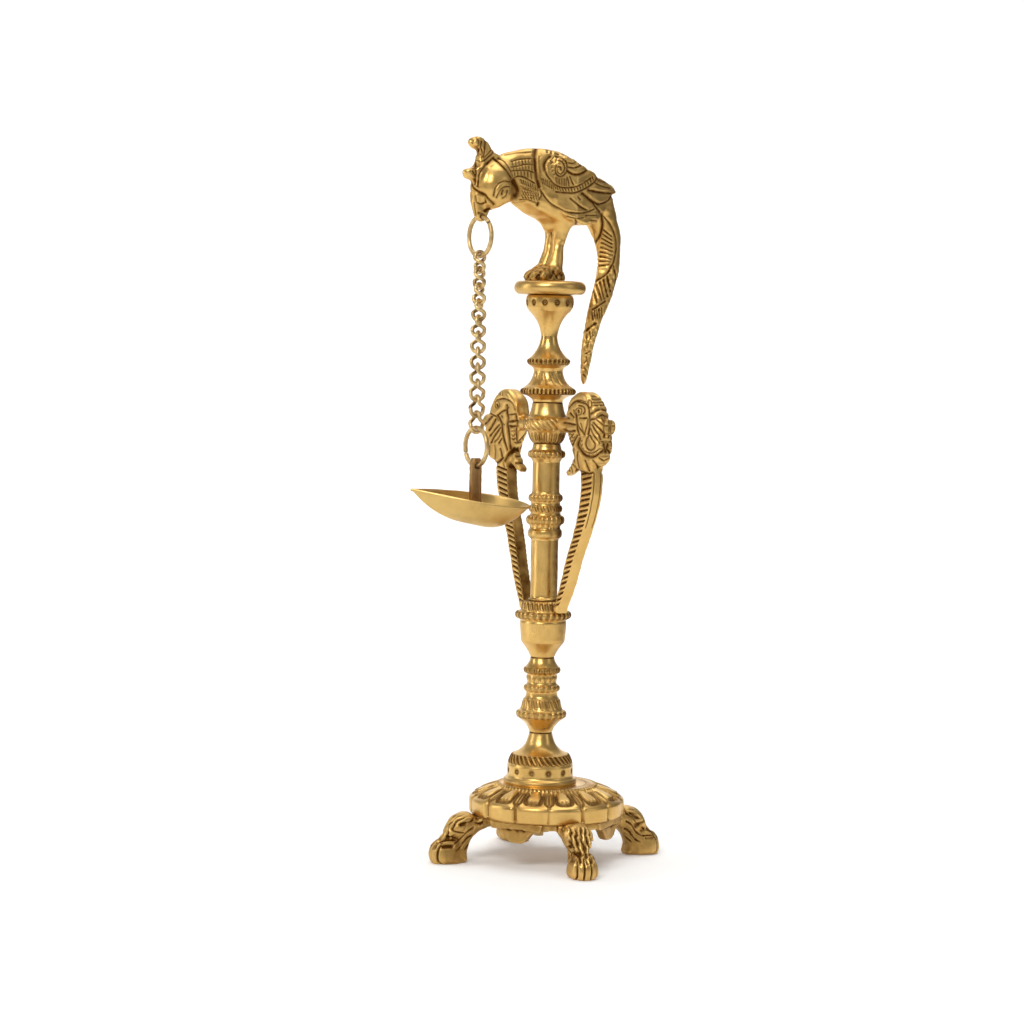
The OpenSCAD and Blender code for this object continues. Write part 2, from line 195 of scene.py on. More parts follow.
def brass(name, light, warm, patina_and_shade, rough=(0.2, 0.34), grain=0.03, pits=0.0, turning=0.0, brush=0.0, tint=0.5):
    """Brass: colour that varies over the surface, dark brown oxide where the mesh's own attribute says it is hollow and
    painted shade where that attribute carries it, bright rubbed edges, and fine bumps.
    """
    m = bpy.data.materials.new(name)
    m.use_nodes = True
    nt = m.node_tree
    nt.nodes.clear()
    L = nt.links.new
    out = node_of(nt, "ShaderNodeOutputMaterial")
    sh = node_of(nt, "ShaderNodeBsdfPrincipled")
    sh.inputs["Metallic"].default_value = 1.0
    L(sh.outputs[0], out.inputs[0])
    tc = node_of(nt, "ShaderNodeTexCoord")

    def noise(scale, detail=3.0, rough_=0.55):
        n = node_of(nt, "ShaderNodeTexNoise")
        n.inputs["Scale"].default_value = scale
        n.inputs["Detail"].default_value = detail
        n.inputs["Roughness"].default_value = rough_
        L(tc.outputs["Object"], n.inputs["Vector"])
        return n.outputs["Fac"]

    def remap(src, a, b, c, d, clamp=True):
        n = node_of(nt, "ShaderNodeMapRange", clamp=clamp)
        n.inputs["From Min"].default_value, n.inputs["From Max"].default_value = a, b
        n.inputs["To Min"].default_value, n.inputs["To Max"].default_value = c, d
        L(src, n.inputs["Value"])
        return n.outputs[0]

    def op(kind, a, b):
        n = node_of(nt, "ShaderNodeMath", operation=kind)
        for i, v in enumerate((a, b)):
            if isinstance(v, (int, float)):
                n.inputs[i].default_value = v
            else:
                L(v, n.inputs[i])
        return n.outputs[0]

    def mix(fac, a, b):
        n = node_of(nt, "ShaderNodeMix", data_type="RGBA")
        L(fac, n.inputs["Factor"])
        for sock, v in ((n.inputs[6], a), (n.inputs[7], b)):
            if isinstance(v, tuple):
                sock.default_value = (*v, 1)
            else:
                L(v, sock)
        return n.outputs[2]

    dark = node_of(nt, "ShaderNodeAttribute", attribute_name="dark").outputs["Fac"]
    edge = node_of(nt, "ShaderNodeAttribute", attribute_name="edge").outputs["Fac"]
    blotch = remap(noise(70, 4), 0.35, 0.68, 0, 1)
    fine = noise(420, 5)
    grime = remap(noise(260, 4, 0.65), 0.45, 0.8, 0, 1)
    base = mix(op("MULTIPLY", blotch, tint), light, warm)
    base = mix(op("MULTIPLY", grime, 0.22), base, tuple(0.55 * c for c in warm))
    broken = op("MULTIPLY", dark, remap(fine, 0.25, 0.6, 0.72, 1.12))
    col = mix(broken, base, patina_and_shade)
    col = mix(op("MULTIPLY", edge, 0.35), col, tuple(min(1, 1.08 * c + 0.03) for c in light))
    L(col, sh.inputs["Base Color"])
    r = remap(noise(150, 4, 0.6), 0.3, 0.7, rough[0], rough[1])
    r = op("ADD", r, op("MULTIPLY", broken, 0.3))
    r = op("SUBTRACT", r, op("MULTIPLY", edge, 0.05))
    L(r, sh.inputs["Roughness"])
    height = op("MULTIPLY", noise(900, 4), grain)
    if pits:
        v = node_of(nt, "ShaderNodeTexVoronoi")
        v.inputs["Scale"].default_value = 650
        L(tc.outputs["Object"], v.inputs["Vector"])
        height = op("ADD", height, op("MULTIPLY", remap(v.outputs["Distance"], 0, 0.34, -1, 0), pits))
    if turning:
        mp = node_of(nt, "ShaderNodeMapping")
        mp.inputs["Scale"].default_value = (0.02, 0.02, 1)
        L(tc.outputs["Object"], mp.inputs["Vector"])
        n = node_of(nt, "ShaderNodeTexNoise")
        n.inputs["Scale"].default_value = 2600
        n.inputs["Detail"].default_value = 2
        L(mp.outputs[0], n.inputs["Vector"])
        height = op("ADD", height, op("MULTIPLY", n.outputs["Fac"], turning))
    if brush:
        mp = node_of(nt, "ShaderNodeMapping")
        mp.inputs["Scale"].default_value = (1, 0.04, 0.3)
        mp.inputs["Rotation"].default_value = (0.3, 0.2, 0.9)
        L(tc.outputs["Object"], mp.inputs["Vector"])
        n = node_of(nt, "ShaderNodeTexNoise")
        n.inputs["Scale"].default_value = 1700
        n.inputs["Detail"].default_value = 3
        L(mp.outputs[0], n.inputs["Vector"])
        height = op("ADD", height, op("MULTIPLY", n.outputs["Fac"], brush))
    b = node_of(nt, "ShaderNodeBump")
    b.inputs["Strength"].default_value = 0.5
    b.inputs["Distance"].default_value = 0.001
    L(height, b.inputs["Height"])
    L(b.outputs[0], sh.inputs["Normal"])
    return m


# the third colour is the dark brown of the oxide in hollows, and also the colour of painted shade on the column parts,
# the brackets' inner edges and inside the bowl
LIGHT, WARM, PATINA_AND_SHADE = (0.77, 0.50, 0.165), (0.60, 0.335, 0.085), (0.12, 0.043, 0.004)
CAST = brass("cast_brass", LIGHT, WARM, PATINA_AND_SHADE, (0.3, 0.46), 0.05, pits=0.03)
TURNED = brass("turned_brass", (0.78, 0.51, 0.17), WARM, PATINA_AND_SHADE, (0.25, 0.4), 0.03, turning=0.06)
SATIN = brass("satin_brass", (0.70, 0.48, 0.17), (0.60, 0.37, 0.11), PATINA_AND_SHADE, (0.34, 0.46), 0.05, brush=0.08, tint=0.35)
WIRE = brass("wire_brass", (0.78, 0.58, 0.28), (0.58, 0.38, 0.15), (0.10, 0.045, 0.012), (0.3, 0.44), 0.05, pits=0.02, tint=0.6)
BROWN = brass("bronze_brown", (0.5, 0.3, 0.12), (0.3, 0.15, 0.05), (0.05, 0.022, 0.007), (0.32, 0.5), 0.09, pits=0.05, tint=0.9)
DULL = brass("dull_brass", (0.5, 0.36, 0.17), (0.36, 0.23, 0.09), PATINA_AND_SHADE, (0.35, 0.5), 0.08, tint=0.9)
MATS = {"cast_brass": CAST, "turned_brass": TURNED, "satin_brass": SATIN, "wire_brass": WIRE,
        "bronze_brown": BROWN, "dull_brass": DULL}

# every CAD node that stays gets the material of its slot
for name, ob in frame["nodes"].items():
    mat = MATS[SLOT_OF[name]]
    if ob.material_slots:
        for s in ob.material_slots:
            s.material = mat
    else:
        ob.data.materials.append(mat)

# ------------------------------------------------------------------ turned parts


def saw(n, th, shift=0.0):
    """-1 to 1 across each of n cells round the axis."""
    return ((th * n / (2 * math.pi) + shift) % 1.0 - 0.5) * 2


def window(a, b, z, soft=0.25):
    return sstep(a - soft, a + soft, z) * (1 - sstep(b - soft, b + soft, z))


def d_beads(a, b, n, amp, lean=0.0, r0=0.0, sharp=0.93):
    def f(R, Z, T):
        p = saw(n, T + lean * (Z - (a + b) / 2))
        w = window(a, b, Z, 0.15) * (R > r0)
        return -amp * w * (1 - np.sqrt(np.maximum(0, 1 - sharp * p * p))), 0 * R
    return f


def d_flutes(a, b, n, amp, lean=0.0, width=0.55, r0=0.0):
    """Separate slots cut round a band."""
    def f(R, Z, T):
        p = np.abs(saw(n, T + lean * (Z - (a + b) / 2)))
        w = window(a, b, Z, 0.3) * (R > r0)
        cut = sstep(width, width + 0.3, p)
        return -amp * w * cut, 0.5 * w * cut
    return f


def d_punch(z, n, rad, depth, ring=0.0, shift=0.0):
    def f(R, Z, T):
        p = saw(n, T, shift) * math.pi / n
        d = np.hypot(p * R, Z - z)
        out = -depth * (1 - sstep(rad - 0.2, rad + 0.2, d))
        black = 1 - sstep(rad - 0.1, rad + 0.25, d)
        if ring:
            g = np.exp(-((d - ring) / 0.28) ** 2)
            out -= 0.16 * g
            black = np.maximum(black, 0.75 * g)
        return out, black
    return f


def turned(node, prof, decos=(), bore=2.1, n=420, ds=0.2, soften=2, mat=TURNED, wobble=0.05, painted_side_shade=0.0):
    prof = [(bore, prof[0][1])] + list(prof) + [(bore, prof[-1][1])]
    P = resample(prof, ds)
    for _ in range(soften):
        P[1:-1] = 0.5 * P[1:-1] + 0.25 * (P[:-2] + P[2:])
    m = len(P)
    inner = resample([(bore, prof[-1][1]), (bore, prof[0][1])], 2.0)[1:-1]
    P = np.concatenate([P, inner])
    T = np.linspace(0, 2 * math.pi, n, endpoint=False)
    R, TH = np.meshgrid(P[:, 0], T, indexing="ij")
    Z = np.broadcast_to(P[:, 1][:, None], R.shape).copy()
    tan = np.gradient(P[:m], axis=0)
    nr, nz = tan[:, 1], -tan[:, 0]
    ln = np.maximum(np.hypot(nr, nz), 1e-9)
    nr, nz = nr / ln, nz / ln
    nr = np.concatenate([nr, np.zeros(len(inner))])[:, None]
    nz = np.concatenate([nz, np.zeros(len(inner))])[:, None]
    out, black = np.zeros(R.shape), np.zeros(R.shape)
    face = sstep(0.0, 0.5, nr)  # carving cuts only what faces outwards
    for d in decos:
        o, k = d(R, Z, TH)
        out += o * face
        black = np.maximum(black, k * face)
    # a hand-finished part isn't perfectly round
    out += wobble * np.sin(3 * TH + 0.13 * Z) * np.sin(0.37 * Z + 1.3) * (nr > 0.2)
    R2 = np.maximum(R + out * nr, bore if bore else 0.01)
    Z2 = Z + out * nz
    V = np.stack([R2 * np.cos(TH), R2 * np.sin(TH), Z2], -1).reshape(-1, 3)
    F = grid_faces(len(P), n, close_u=True)[:, ::-1]
    h1, h2, _ = hollows(V, F)
    dark = sstep(0.012, 0.09, h1) * 0.75 + sstep(0.05, 0.36, h2) * 0.8 + 0.9 * black.ravel()
    if painted_side_shade:  # painted shade on the side that faces the right bracket, and weaker painted shade on the side opposite
        side = sstep(0.25, 0.85, np.cos(TH + math.radians(28))) + 0.6 * sstep(0.5, 0.95, np.cos(TH - math.radians(110)))
        dark = dark + painted_side_shade * side.ravel() * (0.8 + 0.2 * wire_noise(V * 0.4, 91, 1.0))
    return piece(node, V, F, mat, node, dark=np.clip(dark, 0, 1), edge=sstep(0.02, 0.08, -h1))


turned("bell_foot", [(15.3, 31.5)] + bead(14.6, 15.3, 31.5, 34.2)[1:] + [(13.9, 34.9), (13.75, 35.6), (13.75, 39.6),
       (13.5, 40.3), (13.55, 40.7), (12.9, 42.6), (12.1, 44.1)] + bez((12.1, 44.1), (6.8, 45.8), (5.5, 50.4), 10)
       + [(4.9, 52.4), (4.75, 53.2)],
       [d_punch(37.6, 12, 0.62, 0.5, ring=1.15, shift=0.2), d_flutes(40.9, 44.2, 34, 0.75, lean=0.05, width=0.42)])
turned("lower_baluster", [(4.7, 53.2)] + bez((4.7, 53.2), (5.6, 56.6), (8.9, 58.9), 10) + bead(9.6, 10.6, 59.5, 62.5)
       + [(9.0, 62.8), (8.4, 64.2), (7.9, 66.6), (7.1, 67.8), (6.6, 68.6), (6.5, 70.2)] + bead(6.6, 7.6, 70.5, 73.3)
       + [(6.2, 73.7), (6.0, 74.6), (6.5, 76.2), (6.2, 77.6)] + bead(6.9, 7.75, 78.2, 80.8)
       + bez((6.9, 80.9), (5.3, 82.6), (4.9, 84.8), 8),
       [d_beads(59.4, 62.6, 22, 0.75), d_flutes(63.6, 67.4, 20, 0.5, lean=0.03, width=0.4),
        d_beads(70.5, 73.3, 16, 0.65), d_flutes(78.6, 80.4, 22, 0.45, width=0.5),
        d_flutes(74.9, 77.3, 16, 0.35, width=0.5)], painted_side_shade=0.2)
turned("bracket_cup", [(4.9, 84.8)] + bez((4.9, 84.8), (5.9, 87.6), (8.9, 91.2), 10) + [(9.2, 92.2), (9.5, 96),
       (9.7, 99.6), (9.4, 100.4)] + bead(10.6, 11.8, 101.1, 104.2) + [(9.5, 104.3), (9.4, 105), (8.9, 107.6), (7.6, 108.6)],
       [d_beads(100.9, 104.3, 26, 0.85), d_flutes(104.9, 108, 26, 0.6, lean=0.02, width=0.45)], painted_side_shade=0.5)
turned("column_tube", [(6.6, 108.6), (6.4, 109.4), (5.7, 110), (5.65, 111), (5.65, 134.2), (6.2, 134.8)]
       + bead(6.5, 7.1, 135, 138.4) + [(6.3, 138.9), (6.3, 139.8)] + bead(6.9, 8.1, 140.5, 144.1)
       + [(6.3, 144.5), (6.2, 145.2)] + bead(6.2, 7.0, 145.6, 148.4) + [(6.0, 148.9), (6.0, 149.6)]
       + bead(6.2, 7.2, 150, 153) + [(5.8, 153.5), (5.65, 154.2), (5.65, 166.6), (6.1, 167.2), (6.3, 167.8)]
       + bead(6.9, 7.9, 168.2, 171.2) + [(6.2, 171.6), (5.9, 172.6), (5.6, 174.2)],
       [d_beads(140.3, 144.2, 20, 0.75), d_flutes(145.8, 148.2, 16, 0.4, lean=0.06, width=0.5),
        d_beads(149.9, 153.1, 18, 0.6), d_beads(168, 171.3, 20, 0.65), d_flutes(139, 139.9, 16, 0.3)], painted_side_shade=0.85)
turned("bracket_hub", [(5.6, 174.2)] + bez((5.6, 174.2), (7.2, 175.2), (7.9, 178.4), 8) + [(8.1, 179.0)]
       + bead(9.2, 10.2, 179.8, 184.6) + bez((8.4, 184.9), (6.9, 186.6), (6.3, 191.2), 8),
       [d_flutes(174.9, 178.6, 22, 0.65, width=0.4), d_beads(179.7, 184.7, 24, 0.6, lean=0.09)], painted_side_shade=0.8)
turned("upper_baluster", [(6.2, 191.2), (6.5, 192.5), (8.2, 193.7), (11.2, 194.7), (11.7, 195.7), (11.4, 196.6), (10, 197.6)]
       + bez((10, 197.6), (6.6, 199.6), (6.0, 204.2), 10) + [(6.4, 205.6), (8.5, 207), (9.1, 208.2), (8.8, 209)]
       + bez((8.8, 209), (3.9, 212.6), (3.4, 218.6), 12) + bez((3.4, 218.6), (4.0, 225), (8.6, 229), 10)
       + [(9.7, 230.8), (10, 232.6), (9.9, 234.6), (9.3, 235.6), (8, 235.9)],
       [d_flutes(194.9, 196.9, 40, 0.7, width=0.35, r0=9.5), d_flutes(198.6, 203.2, 16, 0.4, lean=0.05, width=0.62),
        d_flutes(207, 209.2, 28, 0.6, width=0.4, r0=7.6), d_punch(232.5, 12, 0.85, 0.9, shift=0.1)], painted_side_shade=0.12)
turned("plate", [(8, 235.9), (12.4, 235.95)] + bead(12.6, 14.9, 236, 241.4, 16) + [(12.4, 241.5), (8, 241.5)],
       [], bore=0.3, wobble=0.08)

BASE_OFF = np.array([2.4, -1.8, 0.0])   # the disc and its legs stand a little off the stem's axis
PETAL0 = math.radians(236.0)            # where one of the notches between two lobes is


def base_disc():
    prof = [(2.1, 19.2), (31.2, 19.2), (32.2, 19.7), (32.5, 20.6), (32.6, 25.0), (32.3, 26.0), (31.4, 26.7)] \
        + bez((31.4, 26.7), (27.2, 29.4), (21.3, 31.0), 14) + [(21.15, 31.2), (21.0, 31.8), (20.6, 32.05), (16.2, 32.1),
        (15.75, 31.9), (15.6, 31.5), (2.1, 31.5), (2.1, 19.2)]
    P = resample(prof, 0.22)[:-1]
    for _ in range(2):
        P = 0.5 * P + 0.25 * (np.roll(P, 1, 0) + np.roll(P, -1, 0))
    n = 1120
    T = np.linspace(0, 2 * math.pi, n, endpoint=False)
    keep = np.ones(len(P), bool)
    inner = (P[:, 0] < 18) & (np.arange(len(P)) % 12 != 0)
    P = P[~inner]
    R, TH = np.meshgrid(P[:, 0], T, indexing="ij")
    Z = np.broadcast_to(P[:, 1][:, None], R.shape).copy()
    tan = np.roll(P, -1, 0) - np.roll(P, 1, 0)
    ln = np.maximum(np.linalg.norm(tan, axis=1), 1e-9)
    nr, nz = (tan[:, 1] / ln)[:, None], (-tan[:, 0] / ln)[:, None]
    p = saw(14, TH - PETAL0, 0.0)          # 0 in the middle of a lobe, 1 at a notch
    a = np.abs(p)
    half = math.pi / 14 * R                # half a cell's width in mm
    x = p * half
    out, black = np.zeros(R.shape), np.zeros(R.shape)
    # lobes and the notches between them
    deep = np.array([0.25, 0.6, 0.85, 0.5, 0.9, 0.7, 0.35, 0.8, 0.6, 0.9, 0.4, 0.8, 1.0, 1.0])[
        np.round((TH - PETAL0) * 14 / (2 * math.pi)).astype(int) % 14]
    side = sstep(30.4, 32.0, R) * sstep(19.4, 20.2, Z)
    y = (1 - a) * half
    notch = np.exp(-(y / (0.45 + 0.5 * deep)) ** 2)
    slit = np.exp(-(y / 0.32) ** 2)
    out -= side * (0.35 * a ** 3 + deep * (0.85 * notch + 0.5 * slit))
    black = np.maximum(black, side * np.minimum(1, deep + 0.15) * np.maximum(0.9 * slit, 0.35 * notch))
    top = sstep(0.2, 0.7, nz) * (R > 21.2) * (Z > 24)
    # a broad petal, its dark outline closed at the outer end
    ro, rc = 30.3, 1.3
    w = 3.3 * (0.68 + 0.32 * sstep(21, 28, R))
    qx, qr = np.abs(x) - (w - rc), R - (ro - rc)
    d = np.hypot(np.maximum(qx, 0), np.maximum(qr, 0)) + np.minimum(np.maximum(qx, qr), 0) - rc
    wav = 0.12 * np.sin(9 * TH + R) + 0.1 * np.sin(31 * TH + 2.0)
    cutU = (1 - sstep(0.36, 0.8, np.abs(d + wav))) * sstep(21.5, 22.2, R) * top
    out -= 0.95 * cutU
    black = np.maximum(black, 1.15 * cutU)
    out += 0.45 * top * sstep(0.2, 1.6, -d)
    flick = np.exp(-((np.abs(x) - 0.9) / 0.3) ** 2) * window(28.2, 29.6, R, 0.4) * top
    out -= 0.35 * flick
    black = np.maximum(black, 0.7 * flick)
    # two narrow leaves on each notch, which run out at the edge
    s_ = (0.66 + 0.34 * sstep(21.5, 29, R)) * (1 - 0.85 * sstep(29.8, 31.6, R))
    cutl = np.maximum(1 - sstep(0.14, 0.44, np.abs(y - 1.6 * s_)), 0.8 * (1 - sstep(0.06, 0.34, y)))
    cutl = cutl * sstep(21.5, 22.2, R) * (1 - sstep(31.0, 31.8, R)) * top
    out -= 0.75 * cutl
    out += 0.25 * top * np.exp(-((y - 0.85 * s_) / 0.45) ** 2) * sstep(22, 24, R) * (1 - sstep(30.6, 31.4, R))
    black = np.maximum(black, 1.1 * cutl)
    # the toothed ring, flat and brown on top
    tooth = saw(76, TH)
    ring = window(30.9, 33, Z, 0.15) * window(20.2, 21.6, R, 0.2)
    out -= 0.6 * ring * sstep(0.4, 0.75, np.abs(tooth))
    black = np.maximum(black, 0.85 * ring * sstep(0.45, 0.8, np.abs(tooth)))
    black = np.maximum(black, 0.42 * window(15.8, 20.4, R, 0.3) * (Z > 31) * (0.7 + 0.3 * np.sin(5 * TH + 2.6 * R)))
    out += 0.12 * np.sin(2 * TH + 0.6) * side + 0.08 * np.sin(5 * TH + 1.0) * side
    R2, Z2 = R + out * nr, Z + out * nz
    Z2 = np.maximum(Z2, 19.2)
    V = np.stack([R2 * np.cos(TH), R2 * np.sin(TH), Z2], -1).reshape(-1, 3)
    off = sstep(15.7, 21.0, R).reshape(-1, 1) * BASE_OFF
    V = V + off
    F = grid_faces(len(P), n, close_u=True)[:, ::-1]
    h1, h2, _ = hollows(V, F)
    dark = np.clip(sstep(0.02, 0.12, h1) * 0.5 + sstep(0.1, 0.5, h2) * 0.45 + black.ravel(), 0, 1)
    piece("base_disc", V, F, TURNED, "base_disc", dark=dark, edge=sstep(0.02, 0.08, -h1))


base_disc()

# ------------------------------------------------------------------ rings, links, post and bowl

HANG_X, BEAK_Z, RING_CR, LOW_CR = -35.7, 266.5, 8.05, 7.8
RING_WIRE, LINK_WIRE, GAP = 0.95, 0.825, 0.1
LINK_R, LINK_HALF = 2.675, 1.46
LINK_LEN = 2 * (LINK_R + LINK_HALF)
PITCH = LINK_LEN - 2 * LINK_WIRE - GAP
FIRST_Z = BEAK_Z - 2 * RING_CR + RING_WIRE + LINK_WIRE + GAP
LAST_Z = FIRST_Z - 10 * PITCH - LINK_LEN
LOW_TOP = LAST_Z + LINK_WIRE + RING_WIRE + GAP
LOW_Z = LOW_TOP - 2 * LOW_CR


def jump_ring(name, cr, z, cut, seed):
    n, m = 220, 28
    gap = math.asin(0.12 / cr)
    A = math.radians(cut) + np.linspace(gap, 2 * math.pi - gap, n)
    B = np.linspace(0, 2 * math.pi, m, endpoint=False)
    AA, BB = np.meshgrid(A, B, indexing="ij")
    s = np.minimum(np.arange(n), n - 1 - np.arange(n)) * (2 * math.pi * cr / n)
    w = RING_WIRE * np.sqrt(np.clip(1 - (1 - np.clip(s / 0.35, 0, 1)) ** 2 * 0.75, 0, 1))[:, None] * np.ones((1, m))
    base = np.stack([RING_WIRE * np.sin(BB), cr * np.sin(AA), z - cr * np.cos(AA)], -1).reshape(-1, 3)
    w = w + wire_noise(base, seed, 0.02).reshape(n, m) - 0.03
    rad = cr + w * np.cos(BB)
    V = np.stack([HANG_X + w * np.sin(BB), rad * np.sin(AA), z - rad * np.cos(AA)], -1).reshape(-1, 3)
    ends = np.stack([V[:m].mean(0), V[-m:].mean(0)])
    F = grid_faces(n, m)
    Vn = len(V)
    caps = [[Vn, j, (j + 1) % m, (j + 1) % m] for j in range(m)]
    # both ends are closed with a fan of triangles, and every quad is split into two triangles
    V = np.concatenate([V, ends])
    tri = [(Vn, j, (j + 1) % m) for j in range(m)] + [(Vn + 1, (n - 1) * m + (j + 1) % m, (n - 1) * m + j) for j in range(m)]
    T3 = np.concatenate([F[:, [0, 1, 2]], F[:, [0, 2, 3]], np.array(tri)])
    v = V[T3]
    vol = np.einsum("ij,ij->i", v[:, 0], np.cross(v[:, 1], v[:, 2])).sum()
    if vol < 0:
        T3 = T3[:, ::-1]
    d = np.clip(0.25 + wire_noise(V, seed + 50, 0.5), 0, 0.6) * 0.5
    # dark in the cut
    d = np.maximum(d, 0.0)
    ang = np.arctan2(V[:, 1], z - V[:, 2])
    near_cut = np.exp(-(((ang - math.radians(cut) + math.pi) % (2 * math.pi) - math.pi) * cr / 0.5) ** 2)
    d = np.maximum(d, 0.8 * near_cut)
    piece(name, V, T3, WIRE, name, dark=d)


jump_ring("top_ring", RING_CR, BEAK_Z - RING_CR, 230, 3)
jump_ring("bottom_ring", LOW_CR, LOW_TOP - LOW_CR, 70, 4)


def loop_at(a):
    c, s = np.cos(a), np.sin(a)
    x, z = LINK_R * c, LINK_R * s + LINK_HALF * np.clip(3 * s, -1, 1)
    u = np.clip(0.5 - z / (2.2 * LINK_HALF), 0, 1)
    w = math.radians(90) * u * u * (3 - 2 * u)
    return np.stack([x * np.cos(w), x * np.sin(w), z], -1)


def chain_link(k):
    n, m = 144, 20
    fine = loop_at(np.linspace(0, 2 * math.pi, 4001))
    s = np.concatenate([[0], np.cumsum(np.linalg.norm(np.diff(fine, axis=0), axis=1))])
    t = np.linspace(0, s[-1], n + 1)[:-1]
    P = np.stack([np.interp(t, s, fine[:, i]) for i in range(3)], 1)
    for _ in range(2):
        P = 0.5 * P + 0.25 * (np.roll(P, 1, 0) + np.roll(P, -1, 0))
    Tn = np.roll(P, -1, 0) - np.roll(P, 1, 0)
    Tn /= np.linalg.norm(Tn, axis=1, keepdims=True)
    U = np.zeros((n + 1, 3))
    u = np.cross(Tn[0], [0, 1, 0]); u /= np.linalg.norm(u)
    U[0] = u
    for i in range(1, n + 1):
        tt = Tn[i % n]
        u = u - (u @ tt) * tt
        u /= np.linalg.norm(u)
        U[i] = u
    turn = math.atan2(np.cross(U[0], U[n]) @ Tn[0], U[0] @ U[n])
    i = np.arange(n)
    B = np.cross(Tn, U[:n])
    ph = np.linspace(0, 2 * math.pi, m, endpoint=False)[None, :] - (turn * i / n)[:, None]
    V = P[:, None, :] + LINK_WIRE * (np.cos(ph)[..., None] * U[:n][:, None, :] + np.sin(ph)[..., None] * B[:, None, :])
    flat = V.reshape(-1, 3)
    N = (V - P[:, None, :]).reshape(-1, 3) / LINK_WIRE
    flat = flat + N * (wire_noise(flat * 1.5, 100 + k, 0.022) - 0.03)[:, None]
    a = math.radians(7.5 * k)
    Rz = np.array([[math.cos(a), -math.sin(a), 0], [math.sin(a), math.cos(a), 0], [0, 0, 1]])
    W = flat @ Rz.T + np.array([HANG_X, 0, FIRST_Z - (k - 1) * PITCH - LINK_LEN / 2])
    F = grid_faces(n, m, close_u=True)
    v = W[F]
    vol = np.einsum("ij,ij->i", v[:, 0], np.cross(v[:, 1], v[:, 2])).sum()
    if vol < 0:
        F = F[:, ::-1]
    # darker on the faces turned in towards the middle of the loop, and darker or lighter at random along the wire
    r = np.hypot(flat[:, 0], flat[:, 1])
    inside = (N * np.stack([flat[:, 0], flat[:, 1], np.zeros(len(flat))], 1)).sum(1) / np.maximum(r, 0.3)
    d = np.clip(0.5 * sstep(0.1, 0.9, -inside) + 0.35 * wire_noise(flat * 0.8, 300 + k, 1.0), 0, 0.85)
    name = "chain_link_%02d" % k
    piece(name, W, F, WIRE, name, dark=d)


for k in range(1, 12):
    chain_link(k)

# ------------------------------------------------------------------ solids from distance fields

import openvdb


def sd_poly(X, Y, poly):
    """Signed distance to a closed polygon, negative inside."""
    P = np.asarray(poly, np.float32)
    d = np.full(np.broadcast(X, Y).shape, 1e9, np.float32)
    ins = np.zeros(d.shape, bool)
    for i in range(len(P)):
        a, b = P[i], P[(i + 1) % len(P)]
        ex, ey = b - a
        wx, wy = X - a[0], Y - a[1]
        t = np.clip((wx * ex + wy * ey) / max(ex * ex + ey * ey, 1e-9), 0, 1)
        d = np.minimum(d, (wx - ex * t) ** 2 + (wy - ey * t) ** 2)
        c = (a[1] <= Y) != (b[1] <= Y)
        xc = a[0] + (Y - a[1]) * (ex / (ey if abs(ey) > 1e-9 else 1e-9))
        ins ^= c & (X < xc)
    d = np.sqrt(d)
    return np.where(ins, -d, d)


def slab(d2, t, half, r):
    """A flat shape given by its 2-D distance, made half thick each way, with its corners rounded by r."""
    a, b = d2 + r, np.abs(t) - half + r
    return np.minimum(np.maximum(a, b), 0) + np.sqrt(np.maximum(a, 0) ** 2 + np.maximum(b, 0) ** 2) - r


def smin(a, b, k):
    h = np.clip(0.5 + 0.5 * (b - a) / k, 0, 1)
    return b * (1 - h) + a * h - k * h * (1 - h)


def smax(a, b, k):
    return -smin(-a, -b, k)


def capsule(X, Y, Z, a, b, ra, rb):
    a, b = np.asarray(a, np.float32), np.asarray(b, np.float32)
    ab = b - a
    L2 = float(ab @ ab) or 1e-9
    t = np.clip(((X - a[0]) * ab[0] + (Y - a[1]) * ab[1] + (Z - a[2]) * ab[2]) / L2, 0, 1)
    return np.sqrt((X - a[0] - t * ab[0]) ** 2 + (Y - a[1] - t * ab[1]) ** 2 + (Z - a[2] - t * ab[2]) ** 2) - (ra + (rb - ra) * t)


def ball(X, Y, Z, c, r, squash=(1, 1, 1)):
    q = np.sqrt(((X - c[0]) / squash[0]) ** 2 + ((Y - c[1]) / squash[1]) ** 2 + ((Z - c[2]) / squash[2]) ** 2)
    return (q - r) * min(squash)


def axes_of(lo, hi, h):
    g = [np.arange(lo[i], hi[i] + h * 0.5, h, dtype=np.float32) for i in range(3)]
    return g[0][:, None, None], g[1][None, :, None], g[2][None, None, :]


def from_field(D, lo, h):
    g = openvdb.FloatGrid(3 * h)
    g.copyFromArray(np.ascontiguousarray(np.clip(D, -3 * h, 3 * h).astype(np.float32)))
    pts, quads = g.convertToQuads(0.0)
    V = np.asarray(pts, float) * h + np.asarray(lo, float)
    F = np.asarray(quads).astype(np.int64)
    v = V[F]
    if (np.einsum("ij,ij->i", v[:, 0], np.cross(v[:, 1], v[:, 2])) + np.einsum("ij,ij->i", v[:, 0], np.cross(v[:, 2], v[:, 3]))).sum() < 0:
        F = F[:, ::-1]
    return V, F


